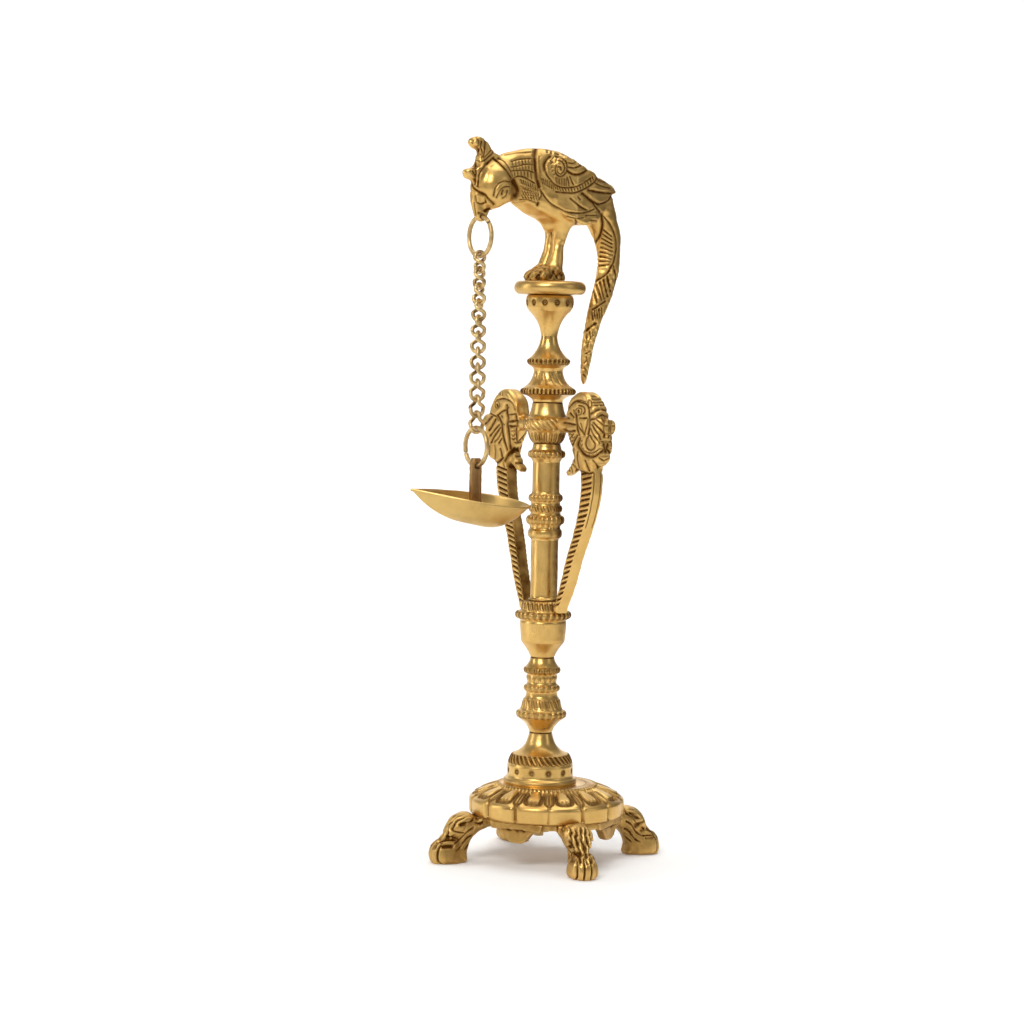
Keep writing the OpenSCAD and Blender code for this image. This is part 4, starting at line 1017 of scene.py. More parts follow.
BRACKET_RIGHT = [  # the bracket on the right, drawn the same way
    (0.5, 0.4, (12.9, 189.6), (14.6, 189.1), (15.3, 187.6), (14.7, 186.3)),
    (0.4, 0.35, (10.8, 187.8), (11.1, 186.1), (12.2, 185)),
    (0.7, 0.5, (12.6, 187.5), (12.7, 186.8)),
    (0.35, 0.3, (14.1, 187.5), (13.7, 186.1), (12.7, 185.7), (11.8, 186.2), (11.5, 187.3), (12, 188.3), (13, 188.6), (13.9, 188.2), (14.1, 187.5)),
    (0.6, 0.5, (12.1, 191.4), (14, 190.9), (16, 190.1), (16.9, 188.3), (17.2, 186.1), (17.4, 182.8), (17.2, 179.4), (17, 177.6)),
    (0.5, 0.45, (16.5, 191.1), (17.3, 192.1), (18.2, 191.4), (18.3, 189.8), (17.4, 188.7), (16.7, 189.7), (16.5, 191.1)),
    (0.5, 0.4, (13.3, 184.4), (14.7, 184.3), (16.2, 184.4)),
    (0.5, 0.4, (12, 185.5), (12.2, 182.8), (13.1, 180.5), (14.3, 179), (15.3, 177.5)),
    (0.5, 0.4, (16.7, 183.9), (16.4, 181.4), (15.7, 178.9), (15.3, 177.5)),
    (0.35, 0.3, (13.8, 182.2), (14.5, 180), (15.1, 178.4)),
    (0.6, 0.5, (11.5, 186.4), (12, 183.9), (12.3, 180.5), (13.2, 177.2)),
    (0.6, 0.5, (6.1, 182.7), (8.9, 182.2), (11.5, 181.6)),
    (0.6, 0.5, (6.1, 179.4), (9, 178.9), (11.3, 179.1)),
    (0.5, 0.4, (9.4, 186.4), (10.9, 184.7)),
    (0.5, 0.4, (7.6, 184.6), (8.9, 184.3)),
    (0.5, 0.4, (6.6, 185.6), (7.2, 185.2)),
    (0.5, 0.4, (7.6, 187.2), (10.1, 190.3), (12.6, 191.8), (15.4, 191.1)),
    (0.3, 0.35, (6.6, 177.9), (7.2, 177.1), (7.8, 177.8)),
    (0.3, 0.35, (8.1, 178), (8.7, 177.2), (9.3, 177.9)),
    (0.3, 0.35, (9.6, 177.9), (10.3, 177.1), (10.9, 177.8)),
    (0.3, 0.35, (7.2, 176.5), (7.8, 175.7), (8.4, 176.4)),
    (0.3, 0.35, (8.7, 176.6), (9.3, 175.8), (9.9, 176.5)),
    (0.3, 0.35, (10.2, 176.8), (10.9, 176), (11.4, 176.6)),
    (0.3, 0.35, (6.8, 175.1), (7.4, 174.3), (8, 175)),
    (0.3, 0.35, (8.2, 175.2), (8.8, 174.4), (9.4, 175.1)),
    (0.3, 0.35, (9.6, 175.4), (10.2, 174.6), (10.8, 175.3)),
    (0.3, 0.35, (7.4, 173.8), (8, 173.1), (8.6, 173.7)),
    (0.3, 0.35, (8.6, 174), (9.2, 173.2), (9.8, 173.9)),
    (0.3, 0.35, (7.5, 172.4), (8.2, 171.7), (8.8, 172.3)),
    (0.3, 0.35, (8.6, 172.6), (9.3, 171.8), (9.9, 172.5)),
    (0.9, 0.7, (13.3, 175.8), (12.7, 173.4), (13.6, 171.4), (15.3, 169.4), (17.8, 168.2), (20.3, 168.6), (22.5, 169.9), (24.2, 171.1)),
    (0.5, 0.4, (16.4, 175.7), (16, 173.4), (16.9, 171.6), (18.3, 171), (19.6, 171.9), (19.9, 173.6), (18.6, 175.5), (17.6, 177.2), (16.4, 175.7)),
    (0.4, 0.3, (13.5, 174.4), (14.7, 171.5), (16.9, 170), (19.4, 170), (21.8, 171.4)),
    (0.28, 0.25, (14.4, 170.8), (15.2, 171.6)),
    (0.28, 0.25, (15.8, 169.6), (16.4, 170.5)),
    (0.28, 0.25, (17.5, 169), (17.8, 170)),
    (0.28, 0.25, (19.2, 169), (19.2, 170)),
    (0.28, 0.25, (20.8, 169.6), (20.5, 170.5)),
    (0.28, 0.25, (13.8, 172.8), (14.7, 173.3)),
    (0.28, 0.25, (13.5, 174.7), (14.5, 175)),
    (0.6, 0.5, (18.4, 181.6), (20.1, 178.9), (21.7, 177.2), (22.4, 175.5)),
    (0.6, 0.5, (18.9, 182.5), (21.2, 180.3), (23.2, 178.2)),
    (0.5, 0.4, (17.9, 180), (19, 177.5), (20.7, 175.5), (22.2, 173.7)),
    (0.5, 0.4, (20.3, 183.9), (21.7, 182.8), (23.1, 181.6)),
    (0.5, 0.4, (18.7, 193.6), (21, 193.5)),
    (0.5, 0.4, (18.7, 192.3), (21.1, 192.1)),
    (0.5, 0.4, (18.7, 191), (21.1, 190.9)),
    (0.5, 0.4, (18.8, 189.8), (21.1, 189.7)),
    (0.7, 0.5, (17.8, 186.2), (19.9, 187.3), (21.7, 188)),
    (0.7, 0.5, (18.1, 183.8), (20.3, 184.4), (23, 185.8)),
    (0.5, 0.4, (22.8, 185.5), (23.1, 183.2)),
    (0.45, 0.35, (24.5, 186.9), (23.7, 184.7), (23.4, 182.2), (23.4, 179.4), (24, 176.4)),
    (0.35, 0.3, (25.7, 183.9), (26, 180), (25.7, 176.6)),
    (0.5, 0.4, (22.7, 174.7), (24.9, 174.1), (27.3, 175)),
    (0.9, 0.7, (24.2, 173.4), (24.7, 170.3)),
    (0.6, 0.5, (12.5, 177.2), (11, 174.4), (10, 171.6), (9.5, 168.3), (9.2, 166.5)),
    (0.4, 0.35, (12.8, 170.5), (12.6, 167.5), (13.5, 163.7)),
    (0.5, 0.45, (15.9, 166.6), (16.8, 164.4), (17.7, 162.3)),
    (0.5, 0.45, (19, 166.9), (20.4, 165.3), (21.9, 163.4)),
    (0.5, 0.4, (22, 167.8), (23.8, 166.5)),
    (0.4, 0.35, (24.8, 167.2), (26.5, 166.1)),
    (0.4, 0.3, (11.1, 171.6), (11, 168.9), (11.6, 166.1)),
    (0.4, 0.35, (9.2, 167.2), (10.7, 165.3), (12.7, 163)),
    (0.7, 0.5, (12.6, 162.8), (14.6, 161.9), (17.1, 161.3), (19.6, 161.6)),
    (0.8, 0.6, (12.8, 162.5), (12.4, 160.5), (12.2, 159)),
    (0.6, 0.4, (13.1, 159.4), (15.5, 160), (17.2, 160.4)),
    (0.9, 0.7, (7.8, 170.5), (7.9, 168.9), (8.6, 168)),
    (0.4, 0.35, (7.6, 167.5), (8.2, 164.4), (9.7, 162.3)),
    (0.4, 0.35, (7, 169.4), (6.7, 166.1), (7.5, 163.6)),
    (0.4, 0.3, (9.8, 164.7), (10.7, 162.5), (11.3, 160.5)),
]

BRACKET_LEFT = [  # and the one on the left
    (0.6, 0.5, (-20.6, 185.9), (-19.1, 187.2), (-17.3, 188), (-16.6, 188.9)),
    (0.8, 0.6, (-17.3, 189.7), (-17.2, 187.2), (-16.5, 184.4), (-16.8, 182.2), (-16.4, 179.4), (-15.8, 175.8), (-14.8, 171.6)),
    (0.5, 0.4, (-16.3, 185.8), (-13.5, 186.1)),
    (0.8, 0.6, (-16.2, 183), (-14.6, 183.1), (-12.8, 183.4)),
    (0.8, 0.6, (-15.9, 181.1), (-14.5, 180.9), (-12.7, 180.9)),
    (0.4, 0.3, (-14.9, 179), (-12.8, 179)),
    (0.35, 0.35, (-14.9, 177.5), (-14.1, 176.9), (-13.3, 177.5)),
    (0.35, 0.35, (-14.7, 175.8), (-13.9, 175.4), (-13, 175.9)),
    (0.35, 0.35, (-13.3, 174.3), (-12.2, 174), (-11.3, 174.3)),
    (0.5, 0.4, (-13.1, 186.1), (-12.6, 182.8), (-12.7, 178.9), (-12.2, 174.4), (-10.4, 171.6)),
    (0.6, 0.5, (-21.2, 190.1), (-21, 189.4)),
    (0.35, 0.3, (-22, 191.1), (-21.1, 191.4), (-20.2, 190.5), (-20.3, 189.3), (-21.1, 188.6), (-21.9, 189.1), (-22, 191.1)),
    (0.5, 0.4, (-19.3, 185.4), (-19.1, 184.8)),
    (0.4, 0.35, (-20.1, 185), (-19.2, 183), (-18.1, 181.6)),
    (0.5, 0.4, (-25.2, 187.5), (-23.5, 186.1), (-21.6, 185), (-20.6, 183.4)),
    (0.7, 0.6, (-21, 185.5), (-19.3, 182.2), (-18.9, 178.9), (-18, 175), (-16.5, 171.2)),
    (0.7, 0.55, (-23.4, 185), (-24.6, 183.6), (-26, 181.9)),
    (0.6, 0.5, (-21.8, 183.9), (-23.1, 181.4), (-24.3, 179.4)),
    (0.6, 0.5, (-20.3, 181.6), (-22, 179.6), (-23.8, 177.2)),
    (0.6, 0.5, (-19.7, 180.5), (-21.7, 177.5), (-23.3, 174.4)),
    (0.5, 0.4, (-19.1, 178.9), (-20.5, 176.1), (-21.9, 174.6)),
    (0.5, 0.4, (-19.1, 175.8), (-20.2, 174.1)),
    (0.5, 0.4, (-21.3, 191.9), (-18.7, 192.5), (-16.4, 191.8), (-14.7, 190.3), (-13.6, 188)),
    (0.35, 0.3, (-24.3, 189.7), (-24.7, 188.3), (-23.8, 187.5)),
    (0.3, 0.25, (-23.7, 193.9), (-23.1, 192.2)),
    (0.3, 0.3, (-21.2, 195.3), (-21, 194.1)),
    (0.3, 0.3, (-20.1, 195.3), (-20, 194.1)),
    (0.3, 0.3, (-19, 195), (-19, 194)),
    (0.6, 0.5, (-19.6, 171.6), (-19.1, 170), (-18.7, 168.2)),
    (0.4, 0.3, (-21.9, 173), (-21.5, 170.3), (-21.7, 166.6)),
    (0.35, 0.3, (-23.9, 172.8), (-24, 169.4), (-24.4, 166.1)),
    (1, 0.7, (-13.4, 171.4), (-15.4, 169.4), (-17.3, 166.5)),
    (0.8, 0.6, (-18.4, 167.8), (-19.8, 166.4), (-21.3, 165.2)),
    (0.7, 0.5, (-12.9, 168.5), (-10.6, 168.7)),
    (0.6, 0.4, (-12.8, 165.7), (-10.3, 165.7)),
    (0.8, 0.5, (-14.7, 164.4), (-13.8, 163.6)),
    (0.6, 0.5, (-23.4, 164.4), (-21, 165)),
    (0.7, 0.5, (-23.1, 163.6), (-20.5, 162.1), (-16.6, 160.9)),
    (0.7, 0.5, (-22.7, 161), (-19.9, 159.8), (-16.6, 159)),
    (0.4, 0.3, (-18.1, 165.8), (-17.5, 163.9), (-16.4, 162.5)),
]



def drawn_at(V):
    """Where points show in the drawing: sideways and up, in mm."""
    f = (AIM - CAM) / np.linalg.norm(AIM - CAM)
    r0 = np.cross(f, [0, 0, 1]); r0 /= np.linalg.norm(r0)
    u0 = np.cross(r0, f)
    r = math.cos(ROLL) * r0 + math.sin(ROLL) * u0
    u = -math.sin(ROLL) * r0 + math.cos(ROLL) * u0
    D = V * 0.001 - CAM
    w = D @ f
    k = 90.35 / 36 * 1024
    px, py = 512 + k * (D @ r) / w, 509.5 - k * (D @ u) / w
    return (px - 538.3 - 0.0205 * (860.6 - py)) / 2.4, (860.6 - py) / 2.4


def carve(lines, u, v, keep=None):
    """How deep the drawn lines cut at each point, and how black they are."""
    cut, black = np.zeros(len(u)), np.zeros(len(u))
    for w, d, *pts in lines:
        P = np.array(pts, float)
        if len(P) > 2:
            P = spline(P, 5)
        lo, hi = P.min(0) - 1.6 * w - 0.6, P.max(0) + 1.6 * w + 0.6
        i = np.nonzero((u > lo[0]) & (u < hi[0]) & (v > lo[1]) & (v < hi[1]))[0]
        if not len(i):
            continue
        x, y = u[i], v[i]
        best = np.full(len(i), 1e9)
        for a, b in zip(P[:-1], P[1:]):
            e = b - a
            t = np.clip(((x - a[0]) * e[0] + (y - a[1]) * e[1]) / max(e @ e, 1e-9), 0, 1)
            best = np.minimum(best, (x - a[0] - t * e[0]) ** 2 + (y - a[1] - t * e[1]) ** 2)
        q = np.sqrt(best) / (w * 0.62 * 1.3 + 0.08)
        g = np.exp(-q ** 2)
        cut[i] = np.maximum(cut[i], d * g)
        black[i] = np.maximum(black[i], min(1, 0.45 + d) * np.exp(-(q / 0.95) ** 2))
    return cut, black


def spline(P, n):
    """A smooth line through the points."""
    P = np.asarray(P, float)
    Q = np.concatenate([[2 * P[0] - P[1]], P, [2 * P[-1] - P[-2]]])
    t = np.linspace(0, 1, n, endpoint=False)[:, None]
    out = []
    for i in range(len(P) - 1):
        a, b, c, d = Q[i:i + 4]
        out.append(0.5 * (2 * b + (c - a) * t + (2 * a - 5 * b + 4 * c - d) * t ** 2 + (3 * b - a - 3 * c + d) * t ** 3))
    out.append(P[-1:])
    return np.concatenate(out)


def finish_figure(name, V, F, cut, black, mat, rough=0.05, seed=1, clip=None, tone=0.0):
    N = normals_of(V, F)
    V = V - N * cut[:, None]
    V = V + N * wire_noise(V * 0.5, seed, rough)[:, None]
    if clip is not None:
        V = clip(V)
    h1, h2, _ = hollows(V, F, 2, 16)
    dark = np.clip(sstep(0.02, 0.12, h1) * 0.6 + sstep(0.07, 0.45, h2) * 0.7 + 0.9 * black + tone, 0, 1)
    return piece(name, V, F, mat, name, dark=dark, edge=sstep(0.02, 0.1, -h1))


BIRD_RUN = [(-34.6, 281, 3, 2.4, -30), (-33, 280.6, 6.4, 4.6, -24), (-29, 280.6, 9, 6.6, -14),
            (-23.6, 281.4, 11.4, 7.4, -8), (-17, 281.6, 13.6, 7.6, -4), (-10, 280.4, 16, 8.6, 0),
            (-3, 279.4, 17.2, 9.8, 3), (5, 278.4, 17, 10.2, 6), (12.6, 277.4, 15.2, 9.6, 12),
            (19.4, 276.4, 12.6, 8, 24), (25, 273, 10.2, 6.6, 44), (28, 266, 8, 5.4, 68),
            (29, 257, 6.6, 4.6, 85), (28.8, 246, 6.4, 4.2, 95), (26.6, 235, 6, 3.8, 103),
            (23.6, 223, 5, 3.3, 106), (20.7, 212, 3.9, 2.8, 108), (19, 204.5, 2.6, 2.2, 108),
            (18, 198.2, 0.8, 0.9, 108)]


def tube_rings(run, m=72, n=7):
    S = spline(np.array(run, float), n)
    t = np.linspace(0, 2 * math.pi, m, endpoint=False)
    out = []
    for x, z, up, wide, lean in S:
        a = math.radians(lean)
        out.append(np.stack([x + up * np.sin(t) * math.sin(a), -wide * np.cos(t), z + up * np.sin(t) * math.cos(a)], -1))
    return np.array(out)


def bird():
    h = 0.36
    lo, hi = (-47.0, -12.0, 195.0), (37.0, 12.0, 302.0)
    X, Y, Z = axes_of(lo, hi, h)
    D = tube_field(tube_rings(BIRD_RUN), lo, hi, h, 12)
    D = np.clip(D, -12 * h, 12 * h)
    xz = (X[:, 0, 0][:, None] + 0 * Z[0, 0][None, :], 0 * X[:, 0, 0][:, None] + Z[0, 0][None, :])
    # a full cheek, and the brow that runs down to the beak
    D = smin(D, ball(X, np.abs(Y), Z, (-29.6, 1.4, 278.6), 8.6, (1.0, 0.86, 1.16)), 0.8)
    D = smin(D, capsule(X, Y, Z, (-37.4, 0, 285.6), (-37.0, 0, 277.5), 4.0, 3.6), 1.6)
    beak = [(-37.6, 280), (-40, 275.6), (-40.4, 271.4), (-39, 267.2), (-37, 264.3), (-34.4, 264.2),
            (-33.2, 266.4), (-31.4, 269.4), (-27, 272), (-27, 280)]
    bw = 1.35 + 1.4 * sstep(267.5, 277, Z) + 0 * X
    D = smin(D, slab(sd_poly(*xz, beak)[:, None, :], Y, np.minimum(bw + 0.35, 3.0), 0.9), 1.2)
    crest = [(-31, 281), (-36.6, 281.6), (-40.6, 280.4), (-43.8, 281.6), (-45, 284.4), (-43, 287),
             (-39.6, 287.6), (-37.8, 289.6), (-39.4, 292.4), (-42.6, 294), (-43.6, 297), (-41.6, 299.6),
             (-38, 300), (-34, 297.4), (-29.6, 292.8), (-24, 288)]
    D = smin(D, slab(sd_poly(*xz, crest)[:, None, :], Y, 2.6 + 0 * X + 0 * Z, 1.5), 1.1)
    D = smin(D, ball(X, Y, Z, (-40.6, 0, 296.2), 3.3, (1, 0.85, 1)), 0.6)
    D = smin(D, ball(X, Y, Z, (-42.0, 0, 284.1), 2.8, (1, 0.9, 1)), 0.6)
    # the wings stand a little proud of the flanks and end in a point above the tail
    wing = [(-7.6, 283), (-4, 291.5), (4, 294.6), (13, 291), (22, 285.4), (30.5, 280.2), (31.8, 277.6), (28, 275.4),
            (24, 272.5), (18, 267), (10, 264.6), (2, 266.6), (-4.6, 272)]
    wd = sd_poly(*xz, wing)
    prof = np.interp(xz[0], [-8, 5, 16, 24, 32], [8.8, 11.1, 9.6, 6.4, 2.6]).astype(np.float32)
    sh = slab(wd[:, None, :], np.abs(Y), prof[:, None, :], 1.5)
    sh = np.maximum(sh, -(np.abs(Y) - 1.4) - 0.0 * X)
    D = smin(D, sh, 0.9)
    # thighs, legs and feet
    ay = np.abs(Y)
    D = smin(D, capsule(X, ay, Z, (3.6, 4.2, 268.0), (2.5, 3.6, 258.5), 4.6, 2.5), 2.0)
    D = smin(D, capsule(X, ay, Z, (2.9, 2.6, 264.0), (1.6, 2.5, 254.0), 3.2, 3.0), 0.7)
    D = smin(D, capsule(X, ay, Z, (1.6, 2.5, 254.0), (-0.3, 2.9, 246.6), 3.0, 3.9), 0.6)
    for a, b, ra, rb in [((-0.6, 3.0, 246.4), (-7.4, 5.6, 243.6), 2.6, 1.7), ((-0.6, 2.6, 247.2), (-9.6, 2.6, 243.6), 2.9, 1.9),
                         ((-0.6, 2.0, 246.6), (-8.6, 0.2, 243.4), 2.4, 1.6), ((0.4, 3.0, 245.6), (3.6, 3.6, 243.4), 2.2, 1.6)]:
        D = smin(D, capsule(X, ay, Z, a, b, ra, rb), 0.5)
    # the low mound that it stands on
    D = smin(D, ball(X, Y, Z, (-3.0, 0, 241.4), 8.6, (1.0, 0.78, 0.5)), 0.9)
    lumps = 0.45 * np.sin(1.9 * X + 0.6) * np.sin(2.1 * Y + 1.3) * np.sin(1.7 * Z) * (1 - sstep(246.5, 249.5, Z))
    D = D + lumps.astype(np.float32)
    D = np.where((X < 12) & (Z < 246), np.maximum(D, 241.5 - Z), D)
    # nothing shows outside the outline, from either side
    gu, gv = np.arange(-40, 46, 0.25, dtype=np.float32), np.arange(190, 306, 0.25, dtype=np.float32)
    tab = sd_poly(gu[:, None] + 0 * gv[None, :], 0 * gu[:, None] + gv[None, :], spline(np.array(BIRD_OUTLINE + BIRD_OUTLINE[:1]), 3)[:-1])
    gx = np.broadcast_arrays(X, Y, Z)
    P = np.stack([g[::3, ::3, ::3].ravel() for g in gx], 1).astype(float)
    uu, vv = drawn_at(P)
    # the view is so nearly square-on that a straight fit places every point
    A = np.concatenate([P, P ** 2, P[:, [0]] * P[:, [1]], P[:, [0]] * P[:, [2]], P[:, [1]] * P[:, [2]], np.ones((len(P), 1))], 1)
    cu, cv = np.linalg.lstsq(A, uu, rcond=None)[0], np.linalg.lstsq(A, vv, rcond=None)[0]

    def inside(y):
        def fit(c):
            return c[0] * X + c[1] * y + c[2] * Z + c[3] * X ** 2 + c[4] * y ** 2 + c[5] * Z ** 2 + c[6] * X * y + c[7] * X * Z + c[8] * y * Z + c[9]
        iu, iv = (fit(cu) + 40) / 0.25, (fit(cv) - 190) / 0.25
        iu, iv = np.clip(iu, 0, len(gu) - 2), np.clip(iv, 0, len(gv) - 2)
        a, b = iu.astype(int), iv.astype(int)
        fa, fb = (iu - a).astype(np.float32), (iv - b).astype(np.float32)
        return (tab[a, b] * (1 - fa) + tab[a + 1, b] * fa) * (1 - fb) + (tab[a, b + 1] * (1 - fa) + tab[a + 1, b + 1] * fa) * fb
    D = smax(D, inside(-np.abs(Y)), 0.9)
    D = smax(D, inside(np.abs(Y)), 0.9)
    # the drilled hole that the ring hangs in
    D = np.maximum(D, 1.34 - np.sqrt((X - HANG_X) ** 2 + (Z - 266.45) ** 2) + 0 * Y)
    V, F = from_field(D, lo, h)
    N = normals_of(V, F)
    W = V.copy()
    W[:, 1] = -np.abs(W[:, 1])
    u, v = drawn_at(W)
    cut, black = carve(BIRD_LINES, u, v)
    # nothing is chased on the underside or in the seat of the ring
    side = sstep(0.02, 0.3, np.abs(N[:, 1])) * 0.85 + 0.15
    cut = cut * side
    seat = sstep(1.5, 2.3, np.hypot(V[:, 0] - HANG_X, V[:, 2] - 266.45))
    cut *= seat
    # the crest's comb and the back are ribbed, as the sides are
    ridge = (np.abs(V[:, 1]) < 2.2) & (V[:, 2] > 288) & (V[:, 0] < -30)
    q = np.abs(saw(1, 2 * math.pi * (V[:, 0] * 0.8 + V[:, 2] * 0.6) / 2.3))
    rib = ridge * sstep(0.62, 0.95, q)
    cut = np.maximum(cut, 0.3 * rib)
    black = np.maximum(black, 0.5 * rib)
    # toes and the mound, brown from the casting
    feet = (1 - sstep(244.6, 246.6, V[:, 2])) * (V[:, 2] > 241.2) * (V[:, 0] < 12)
    gap = feet * sstep(0.55, 0.95, np.abs(saw(1, 2 * math.pi * (V[:, 1] + 0.3 * V[:, 0]) / 2.4)))
    cut = np.maximum(cut, 0.3 * gap)
    black = np.maximum(black, 0.75 * gap)
    brown = (1 - sstep(246.6, 249.4, V[:, 2] + 0.5 * np.sin(1.7 * V[:, 0]) + 0.4 * np.sin(2.3 * V[:, 1]))) * (V[:, 0] < 12) * (V[:, 2] > 240)
    black = np.maximum(black, brown * (0.5 + 0.2 * np.sin(2.9 * V[:, 0] + 1.0) * np.sin(2.2 * V[:, 1])))

    def clip(V):
        V[:, 0] = np.maximum(V[:, 0], -44.98)
        V[:, 2] = np.clip(V[:, 2], 198.0, 300.0)
        return V
    finish_figure("bird", V, F, cut, black, CAST, 0.06, 61, clip)


bird()

FIGURE = [(17, 186), (18, 190.4), (21, 194), (25.4, 196.2), (30, 195.8), (34, 193), (37.6, 188),
          (40.2, 181.6), (41, 175.4), (40.4, 170.4), (38, 167), (34, 165.4), (31.6, 163.6), (27.4, 163.2),
          (24.4, 165.4), (22.6, 169.4), (20.8, 174), (18.2, 178.4)]
TAIL_RIGHT = np.array([(31.2, 167, 8.8), (31.6, 157, 8), (29.6, 147, 7), (26, 138, 6), (21.4, 128, 5.2),
                       (17.6, 118, 4.6), (14.4, 110.8, 4), (12.2, 106.6, 3.4)])
TAIL_LEFT = np.array([(28.8, 167, 8.4), (28.4, 157, 8), (25.8, 147, 7), (22.2, 138, 6.2), (19, 127, 5.4),
                      (16.4, 117.6, 4.8), (14, 110.8, 4), (12.2, 106.6, 3.4)])
CLAW = [(24.6, 172), (21, 169.6), (18.4, 165.6), (15.8, 163), (16.6, 161.4), (19.8, 162.6), (24, 165.2), (27, 167)]


def bracket(name, s, lines, seed, TAIL):
    h = 0.3
    lo, hi = (-5.4, 4.0, 102.5), (5.4, 43.0, 198.0)
    X, Y, Z = axes_of(lo, hi, h)
    yz = (Y[0, :, 0][:, None] + 0 * Z[0, 0][None, :], 0 * Y[0, :, 0][:, None] + Z[0, 0][None, :])
    fig = spline(np.array(FIGURE + FIGURE[:1], float), 4)[:-1]
    d2 = sd_poly(*yz, fig)[None]
    D = slab(d2, X, 4.0 + 0 * d2, 2.2)
    T = spline(TAIL, 4)
    tail = np.concatenate([np.stack([T[:, 0] - T[:, 2] / 2, T[:, 1]], 1), [[10.5, 104.3], [13.4, 104.3]],
                           np.stack([T[:, 0] + T[:, 2] / 2, T[:, 1]], 1)[::-1]])
    t2 = sd_poly(*yz, tail)[None]
    D = smin(D, slab(t2, X, 2.95 + 0 * t2, 0.9), 0.8)
    D = smin(D, slab(sd_poly(*yz, CLAW)[None], X, 1.9 + 0 * t2, 1.0), 0.8)
    D = smin(D, np.maximum(np.sqrt(X ** 2 + (Z - 182.2) ** 2) - 3.15, 11.05 - Y) + 0 * D, 1.4)
    D = np.minimum(D, np.maximum(np.sqrt(X ** 2 + (Z - 182.2) ** 2) - 2.25, np.maximum(5.2 - Y, Y - 14.0)))
    # the head and the rounded wing stand out from the flat of the figure
    ax = np.abs(X)
    D = smin(D, ball(ax, Y, Z, (1.0, 24.5, 188.6), 4.3, (0.72, 1.15, 1)), 1.2)
    D = smin(D, ball(ax, Y, Z, (0.9, 34.0, 176.5), 5.6, (0.55, 0.95, 1.25)), 1.6)
    D = np.maximum(D, ax - 4.0)
    D = np.maximum(D, 104.3 - Z + 0 * X)
    V, F = from_field(D, lo, h)
    V = V * np.array([1, s, 1])
    if s < 0:
        F = F[:, ::-1]
    W = V.copy()
    W[:, 0] = -np.abs(W[:, 0])
    u, v = drawn_at(W)
    N = normals_of(V, F)
    cut, black = carve(lines, u, v)
    y, z = np.abs(V[:, 1]), V[:, 2]
    fig_part = sstep(160.5, 163.5, z) * sstep(13.5, 15.5, y)
    cut, black = cut * fig_part, black * fig_part
    # slanting slots down both flat sides of the tail
    mid, wid = np.interp(z, TAIL[::-1, 1], TAIL[::-1, 0]), np.interp(z, TAIL[::-1, 1], TAIL[::-1, 2])
    slope = 0.2 + 0.15 * np.clip((145 - z) / 35, 0, 1)
    q = np.abs(saw(1, 2 * math.pi * (z - slope * y + 0.12 * np.sin(z * 1.3 + seed)) / 2.15))
    across = (y - mid) / (wid / 2)
    flank = sstep(0.45, 0.8, np.abs(N[:, 0])) * sstep(-1.1, -0.95, across) * (1 - sstep(0.78, 0.94, across)) \
        * window(107.5, 164.2, z, 0.8) * (1 - fig_part * sstep(163, 164, z))
    slot = flank * sstep(0.4, 0.72, q)
    cut = np.maximum(cut, 0.95 * slot)
    black = np.maximum(black, 0.95 * slot)
    line = sstep(0.45, 0.8, np.abs(N[:, 1])) * np.exp(-((np.abs(V[:, 0]) - 1.7) / 0.28) ** 2) * window(141, 163.5, z, 1.0) * (across > 0)
    cut = np.maximum(cut, 0.5 * line)
    black = np.maximum(black, 0.8 * line)
    # nicks down the narrow faces of the plume
    back = sstep(0.5, 0.8, np.abs(N[:, 1])) * window(166, 192, z, 1.0) * (y > 30)
    nick = back * sstep(0.55, 0.9, np.abs(saw(1, 2 * math.pi * z / 3.1)))
    cut = np.maximum(cut, 0.3 * nick)
    black = np.maximum(black, 0.5 * nick)

    def clip(V):
        V[:, 0] = np.clip(V[:, 0], -4, 4)
        return V
    # painted shade on the edge that faces the column
    inner = sstep(0.35, 0.9, -s * N[:, 1]) * (1 - sstep(163, 168, z)) * (0.8 + wire_noise(V * 0.35, seed + 5, 0.25))
    finish_figure(name, V, F, cut, black, CAST, 0.07, seed, clip, 0.75 * inner)


bracket("peacock_bracket_right", -1, BRACKET_RIGHT, 71, TAIL_RIGHT)
bracket("peacock_bracket_left", 1, BRACKET_LEFT, 72, TAIL_LEFT)

LEG_SIDE = [(20, 18.2), (20, 16.6), (26, 15.3), (30.4, 12.8), (33.8, 9.0), (35.6, 4.6), (36.0, 0), (48.6, 0), (50.3, 1.2),
            (50.9, 3.8), (50.3, 7.2), (48.0, 9.8), (45.4, 11.8), (43.4, 15.0), (40.4, 18.2), (37.0, 20.2), (34.6, 20.5),
            (33.5, 19.7), (32.6, 19.1), (28, 18.2)]


